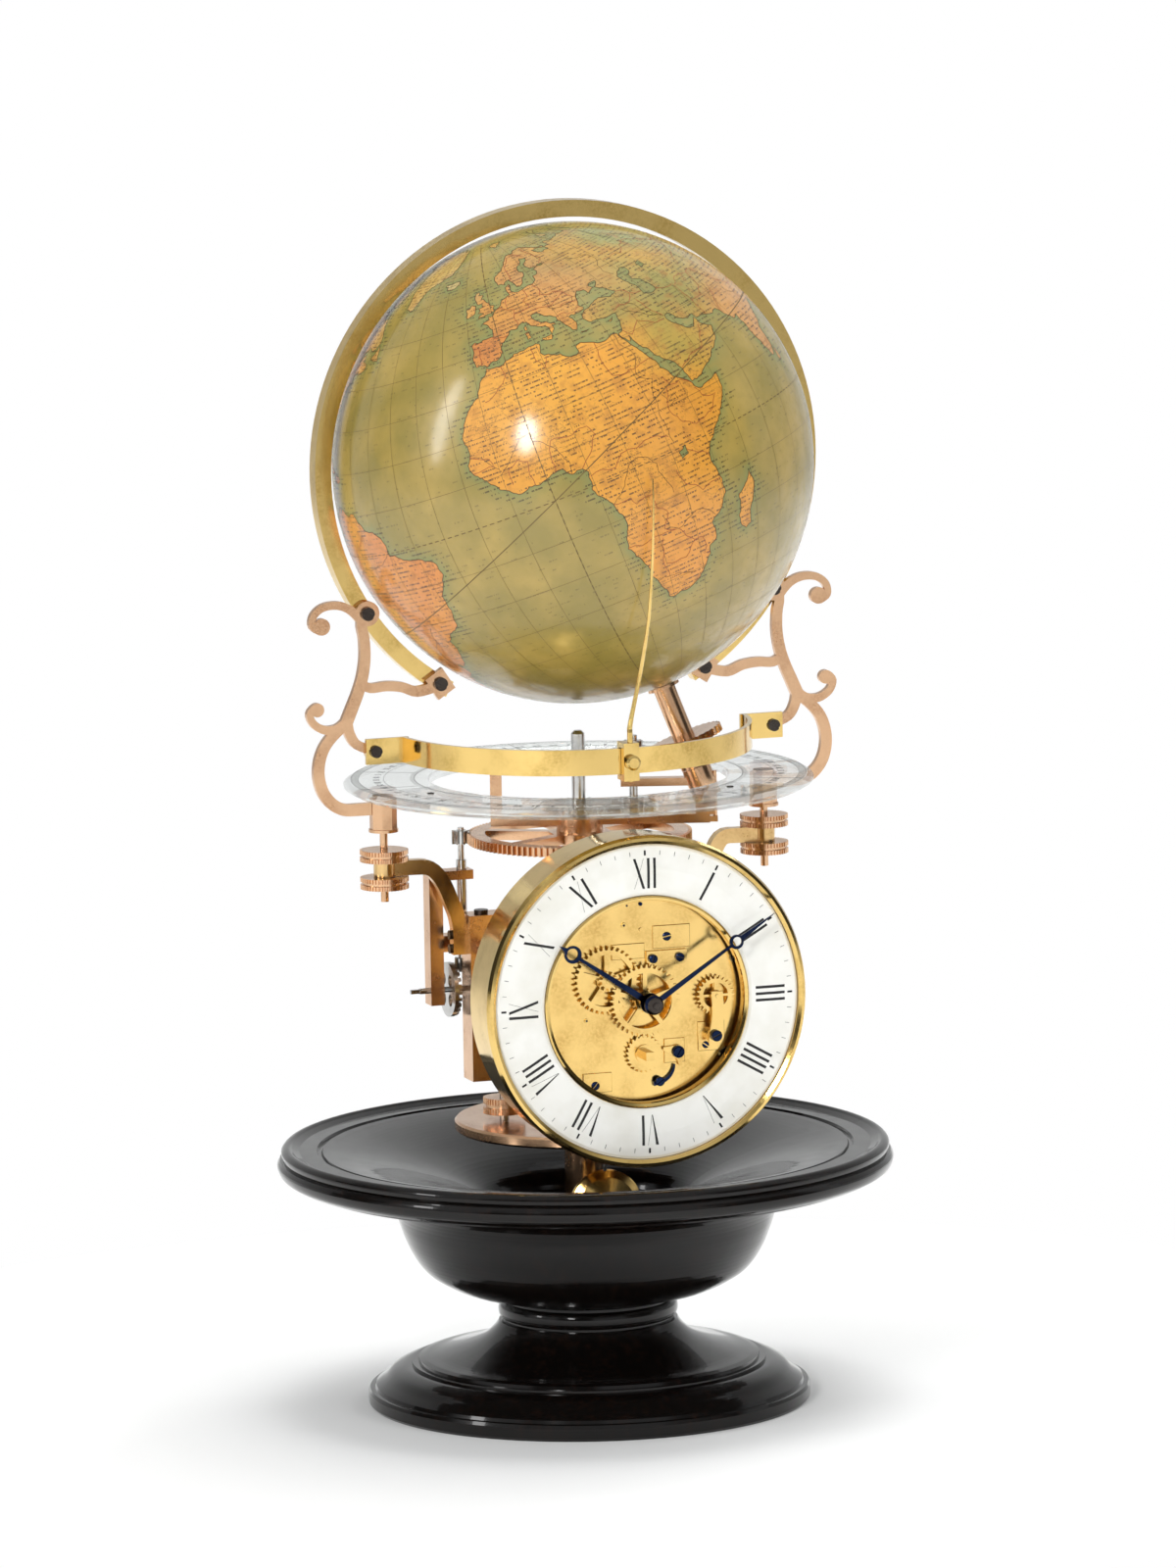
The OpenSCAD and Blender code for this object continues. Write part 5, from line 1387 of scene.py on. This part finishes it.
@dataclass
class Globe:
    """Printed globe: one closed skin of sea and land, with inked lines on it.

    Attributes:
        finishes: The clock's finishes.
        radius: Radius of the skin.
        step: Spacing of the skin's grid in degrees.
        lift: Height of the inked lines above the skin.
        face_lon: Longitude that faces the viewer.
        turn: Place and turn of the globe in the clock's frame.
    """

    finishes: Finishes
    radius: float = GLOBE_R - 0.03 * MM
    step: float = 2.0
    lift: float = 0.035 * MM
    face_lon: float = 4.5
    turn: Matrix = field(default_factory=lambda: Matrix.Translation((0, 0, GLOBE_Z)) @ GLOBE_TURN)

    def place(self, point: Vector, lift: float = 0.0) -> Vector:
        """Puts a longitude and latitude on the tilted globe.

        Args:
            point: Longitude and latitude in degrees.
            lift: Height above the skin.

        Returns:
            The point in the clock's frame.
        """
        lon, lat = math.radians(point.x - self.face_lon - 90), math.radians(point.y)
        r = self.radius + lift
        return self.turn @ Vector(
            (r * math.cos(lat) * math.cos(lon), r * math.cos(lat) * math.sin(lon), r * math.sin(lat))
        )

    @staticmethod
    def inside(point: Vector, outline: list[Vector]) -> bool:
        """Says whether a point lies inside an outline."""
        hit = False
        for a, b in zip(outline, outline[1:] + outline[:1]):
            if (a.y > point.y) != (b.y > point.y):
                share = (point.y - a.y) / (b.y - a.y)
                hit ^= point.x < a.x + (b.x - a.x) * share
        return hit

    def outlines(self, source: dict[str, str], dice: random.Random) -> list[list[Vector]]:
        """Reads and roughens a set of closed outlines."""
        return [roughen(points_of(text), True, dice) for text in source.values()]

    def regions(self, faces: list[list[int]], walls: set[tuple[int, int]]) -> list[int]:
        """Numbers the areas of the skin that coasts separate.

        Args:
            faces: Corner numbers of each face.
            walls: Edges that a coast runs along.

        Returns:
            The area number of each face.
        """
        across: dict[tuple[int, int], list[int]] = {}
        for number, face in enumerate(faces):
            for a, b in zip(face, face[1:] + face[:1]):
                across.setdefault((min(a, b), max(a, b)), []).append(number)
        near: list[list[int]] = [[] for _ in faces]
        for edge, pair in across.items():
            if len(pair) == 2 and edge not in walls:
                near[pair[0]].append(pair[1])
                near[pair[1]].append(pair[0])
        area = [-1] * len(faces)
        count = 0
        for start in range(len(faces)):
            if area[start] >= 0:
                continue
            queue = [start]
            area[start] = count
            while queue:
                for other in near[queue.pop()]:
                    if area[other] < 0:
                        area[other] = count
                        queue.append(other)
            count += 1
        return area

    def skin(self, land: list[list[Vector]], water: list[list[Vector]]) -> bpy.types.Object:
        """Builds the skin with coasts as edges of its faces.

        Args:
            land: Outlines of the lands.
            water: Outlines of the lakes.

        Returns:
            The globe's object.
        """
        columns, rows = round(360 / self.step), round(180 / self.step)
        flat = [
            Vector((WEST_EDGE + self.step * i, -90 + self.step * j))
            for j in range(rows + 1)
            for i in range(columns + 1)
        ]
        ties: list[tuple[int, int]] = []
        for outline in land + water:
            base = len(flat)
            flat += outline
            ties += [(base + i, base + (i + 1) % len(outline)) for i in range(len(outline))]
        points, edges, faces, _, tie_ids, _ = delaunay_2d_cdt(flat, ties, [], 0, 1e-5, True)
        walls = {(min(e), max(e)) for e, ids in zip(edges, tie_ids) if ids}
        shore_points = {i for e in walls for i in e}
        area = self.regions([list(f) for f in faces], walls)
        kind: dict[int, int] = {}
        for number, face in zip(area, faces):
            if number not in kind:
                middle = sum((points[i] for i in face), Vector((0, 0))) / 3
                dry, wet = (any(self.inside(middle, o) for o in outlines) for outlines in (land, water))
                kind[number] = int(dry and not wet)
        mesh = bpy.data.meshes.new("globe_skin")
        placed = [self.place(p) for p in points]
        mesh.from_pydata(placed, [], [tuple(f) for f in faces])
        tree = KDTree(len(shore_points))
        for i in shore_points:
            tree.insert(placed[i], i)
        tree.balance()
        shore = mesh.attributes.new("shore", "FLOAT", "POINT")
        tint = mesh.color_attributes.new("tint", "FLOAT_COLOR", "POINT")
        degree = self.radius * math.pi / 180
        tints = [(self.place(Vector((x, y))), r * degree, linear(c)) for x, y, r, c in TINTS]
        for i, spot in enumerate(placed):
            shore.data[i].value = math.exp(-tree.find(spot)[2] / (2.6 * MM))
            weights = [math.exp(-(((spot - c).length / r) ** 2) * 1.6) + 1e-9 for c, r, _ in tints]
            total = sum(weights)
            mixed = [sum(w * c[2][k] for w, c in zip(weights, tints)) / total for k in range(3)]
            tint.data[i].color = [*mixed, 1]
        for polygon, number in zip(mesh.polygons, area):
            polygon.material_index = kind[number]
            polygon.use_smooth = True
        clean = bmesh.new()
        clean.from_mesh(mesh)
        bmesh.ops.remove_doubles(clean, verts=clean.verts, dist=0.004 * MM)
        bmesh.ops.recalc_face_normals(clean, faces=clean.faces)
        clean.to_mesh(mesh)
        clean.free()
        for key in ("sea", "land"):
            mesh.materials.append(self.finishes.made[key])
        return shown("globe_skin", mesh)

    def ink(
        self, name: str, lines: Iterable[tuple[list[Vector], bool]], width: float, lift: float, finish: str
    ) -> bpy.types.Object:
        """Lays printed lines on the skin as thin ribbons.

        Args:
            name: Name of the object.
            lines: Each line's points, and whether it closes.
            width: Width of the lines in metres.
            lift: Height above the skin.
            finish: Name of the ink.

        Returns:
            The ribbons' object.
        """
        points: list[Vector] = []
        faces: list[tuple[int, int, int, int]] = []
        centre = Vector((0, 0, GLOBE_Z))
        for line, closed in lines:
            spots = [self.place(p, lift) for p in line]
            base, count = len(points), len(spots)
            for i, spot in enumerate(spots):
                before = spots[i - 1] if i or closed else spot
                after = spots[(i + 1) % count] if i + 1 < count or closed else spot
                across = (after - before).cross(spot - centre).normalized() * width / 2
                points += [spot - across, spot + across]
            for i in range(count if closed else count - 1):
                j = (i + 1) % count
                faces.append((base + 2 * i, base + 2 * i + 1, base + 2 * j + 1, base + 2 * j))
        mesh = bpy.data.meshes.new(name)
        mesh.from_pydata(points, [], faces)
        for polygon in mesh.polygons:
            polygon.use_smooth = True
        return self.finishes.dress(shown(name, mesh), finish)

    def graticule(self) -> list[tuple[list[Vector], bool]]:
        """Lists the meridians and parallels, ten degrees apart."""
        lines = [([Vector((lon, lat)) for lat in range(-80, 81, 2)], False) for lon in range(-160, 200, 10)]
        return lines + [
            ([Vector((lon, lat)) for lon in range(WEST_EDGE, 192, 2)], False)
            for lat in range(-80, 81, 10)
            if lat
        ]

    def great_circles(self) -> list[tuple[list[Vector], bool]]:
        """Lists the dashes of the equator and first meridian, and the ecliptic."""
        dashes = [([Vector((lon + k, 0)) for k in (0, 0.6, 1.2)], False) for lon in range(WEST_EDGE, 191, 2)]
        dashes += [([Vector((0, lat + k)) for k in (0, 0.6, 1.2)], False) for lat in range(-84, 84, 2)]
        lean = math.tan(math.radians(23.4))
        sun = [
            Vector((lon, math.degrees(math.atan(lean * math.sin(math.radians(lon))))))
            for lon in range(WEST_EDGE, 192, 2)
        ]
        return dashes + [(sun, False)]

    def build(self) -> list[bpy.types.Object]:
        """Builds the skin and its inked lines."""
        dice = random.Random(7)
        land, water = self.outlines(COASTS, dice), self.outlines(LAKES, dice)
        skin = self.skin(land, water)
        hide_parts("globe")
        coasts = [(outline, True) for outline in land + water]
        bends = [(roughen(points_of(t), False, dice, 0.8), False) for t in RIVERS]
        bounds = [(roughen(points_of(t), False, dice, 0.8), False) for t in BORDERS]
        ribbons = [
            self.ink("globe_coast_ink", coasts, 0.3 * MM, self.lift * 1.6, "coast_ink"),
            self.ink("globe_river_ink", bends, 0.2 * MM, self.lift * 1.3, "coast_ink"),
            self.ink("globe_border_ink", bounds, 0.26 * MM, self.lift * 1.9, "border_ink"),
            self.ink("globe_graticule_ink", self.graticule(), 0.16 * MM, self.lift, "line_ink"),
            self.ink("globe_circle_ink", self.great_circles(), 0.42 * MM, self.lift * 1.15, "line_ink"),
        ]
        for piece in [skin, *ribbons]:
            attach(piece, "globe")
        return [skin, *ribbons]


@dataclass
class Studio:
    """Pale floor, soft lamps and the camera.

    Attributes:
        distance: Distance of the camera from the clock's axis, in metres.
        height: Height of the camera.
        yaw: Turn of the camera to the clock's left.
        roll: Lean of the picture.
        per_pixel: Size that one pixel of the photograph spans at the clock.
        aim_side: Place sideways that the camera aims at.
        aim_z: Height that the camera aims at.
    """

    distance: float = 5.5
    height: float = 1.117
    yaw: float = math.radians(18.3)
    roll: float = math.radians(1.03)
    per_pixel: float = 0.42 * MM
    aim_side: float = 0.004
    aim_z: float = 0.268

    def camera(self) -> None:
        """Places the camera at the photograph's viewing angle."""
        sine, cosine = math.sin(self.yaw), math.cos(self.yaw)
        place = Vector((-self.distance * sine, -self.distance * cosine, self.height))
        side = Vector((cosine, -sine, 0))
        aim = side * self.aim_side + Vector((0, 0, self.aim_z))
        ahead = (aim - place).normalized()
        right = ahead.cross(Vector((0, 0, 1))).normalized()
        up = right.cross(ahead)
        c, s = math.cos(self.roll), math.sin(self.roll)
        axes = (right * c - up * s, up * c + right * s, -ahead)
        data = bpy.data.cameras.new("camera")
        data.sensor_fit = "VERTICAL"
        data.sensor_height = 24
        data.lens = 24 * (aim - place).length / (1600 * self.per_pixel)
        data.clip_end = 50
        obj = shown("camera", data)
        obj.matrix_world = Matrix([[*(a[i] for a in axes), place[i]] for i in range(3)] + [[0, 0, 0, 1]])
        bpy.context.scene.camera = obj

    def floor(self) -> None:
        """Lays a pale floor that curves up behind the clock."""
        reach, start, bend, top, steps = 9.0, 2.2, 1.6, 8.0, 12
        turns = [math.pi / 2 * i / steps for i in range(1, steps + 1)]
        rows = [(-reach, 0.0), (start, 0.0)]
        rows += [(start + bend * math.sin(a), bend - bend * math.cos(a)) for a in turns]
        rows.append((start + bend, top))
        mesh = bpy.data.meshes.new("floor")
        turned = Matrix.Rotation(-self.yaw, 4, "Z")
        points = [turned @ Vector((x, y, z)) for y, z in rows for x in (-reach, reach)]
        faces = [(2 * i, 2 * i + 1, 2 * i + 3, 2 * i + 2) for i in range(len(rows) - 1)]
        mesh.from_pydata(points, [], faces)
        for polygon in mesh.polygons:
            polygon.use_smooth = True
        mesh.materials.append(BackdropPaper().build())
        shown("floor", mesh)

    def lamp(
        self, name: str, place: Sequence[float], size: Sequence[float], watts: float, mirrored: bool = True
    ) -> None:
        """Hangs a soft lamp.

        Args:
            name: Name of the lamp.
            place: Where it hangs, in the camera's turned frame.
            size: Width and height of the lamp in metres.
            watts: Its power.
            mirrored: Whether polished surfaces show it.
        """
        data = bpy.data.lights.new(name, "AREA")
        data.shape = "ELLIPSE"
        data.size, data.size_y = size
        data.energy = watts
        obj = shown(name, data)
        spot = Matrix.Rotation(-self.yaw, 3, "Z") @ Vector(place)
        obj.location = spot
        obj.rotation_euler = (spot - Vector((0, 0, self.aim_z))).to_track_quat("Z", "Y").to_euler()
        obj.visible_glossy = mirrored

    def world(self) -> None:
        """Surrounds the clock with white walls and dark gaps, which polished brass shows as bands.

        The camera sees plain white instead, straight on or through the glass.
        """
        world = bpy.data.worlds.new("studio")
        world.use_nodes = True
        tree = world.node_tree
        work = partial(calc, tree)
        way = add_node(tree, "ShaderNodeNewGeometry").outputs["Incoming"]
        way_x, way_y, way_z = add_node(tree, "ShaderNodeSeparateXYZ", i0=way).outputs
        azimuth = work("ARCTAN2", way_y, way_x)
        wave = work("SINE", work("ADD", work("MULTIPLY", azimuth, 4.0), 0.9))
        wall = add_node(tree, "ShaderNodeMapRange", i0=wave, i1=-0.25, i2=0.25, i3=0.06, i4=0.75).outputs[0]
        high = add_node(tree, "ShaderNodeMapRange", i0=way_z, i1=-0.75, i2=-0.5, i3=1.0, i4=0.0).outputs[0]
        light = work("MAXIMUM", wall, work("MULTIPLY", high, 0.7))
        ray = add_node(tree, "ShaderNodeLightPath").outputs
        seen = work("MAXIMUM", ray["Is Camera Ray"], ray["Is Transmission Ray"])
        light = work("MAXIMUM", light, work("MULTIPLY", seen, 1.3))
        back = tree.nodes["Background"]
        back.inputs[0].default_value = linear("#e6e8ea")
        tree.links.new(light, back.inputs[1])
        bpy.context.scene.world = world

    def build(self) -> None:
        """Builds camera, floor, lamps and world."""
        self.camera()
        self.floor()
        self.lamp("key", (-0.95, -2.3, 1.3), (0.42, 0.75), 26)
        self.lamp("side", (-2.2, -0.9, 1.3), (0.35, 1.6), 14)
        self.lamp("fill", (1.9, -1.5, 1.2), (1.3, 1.3), 16, False)
        self.lamp("top", (0.2, 0.3, 2.3), (1.4, 1.4), 26, False)
        self.lamp("rim", (1.2, 1.6, 1.3), (0.9, 0.9), 14, False)
        self.world()
        bpy.context.scene.view_settings.view_transform = "Standard"


def main() -> None:
    """Builds the looks in order."""
    logging.basicConfig(level=logging.INFO)
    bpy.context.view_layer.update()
    Studio().build()
    finishes = Finishes()
    finishes.build()
    wear = {
        "wood": ("foot", "bowl"),
        "brass": ("hoop", "strap", "index_clamp", "index_pointer", "clamp_screw", "barrel", "dial_drum"),
        "yellow": ("arm_left", "arm_right"),
        "gilt": (
            "back_plate", "front_plate", "plate_pillars", "winding_ratchet", "hour_wheel", "motion_wheel",
            "front_cock", "click", "pendulum_bob", "rating_nut", "takeoff_wheel", "escape_wheel",
            "third_wheel", "centre_wheel",
        ),
        "steel": (
            "level_spindles", "pendulum_rod", "drive_arbor", "setting_arbor", "day_shaft", "crown_shaft",
            "tie_bolt",
        ),
        "blued": ("minute_hand", "hour_hand", "click_spring", "pallets"),
        "dark": ("frame_screws",),
        "enamel": ("chapter_ring",),
        "glass": ("glass_ring",),
    }
    worn = {node: key for key, nodes in wear.items() for node in nodes}
    for name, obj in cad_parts.items():
        finishes.dress(obj, worn.get(name, "bronze"))
    LOG.info("dressed %d nodes", len(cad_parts))
    for part in (Globe(finishes), Dial(finishes), Calendar(finishes), Fittings(finishes)):
        made = part.build()
        LOG.info("%s: %d pieces", type(part).__name__, len(made))


if __name__ == "__main__":
    main()
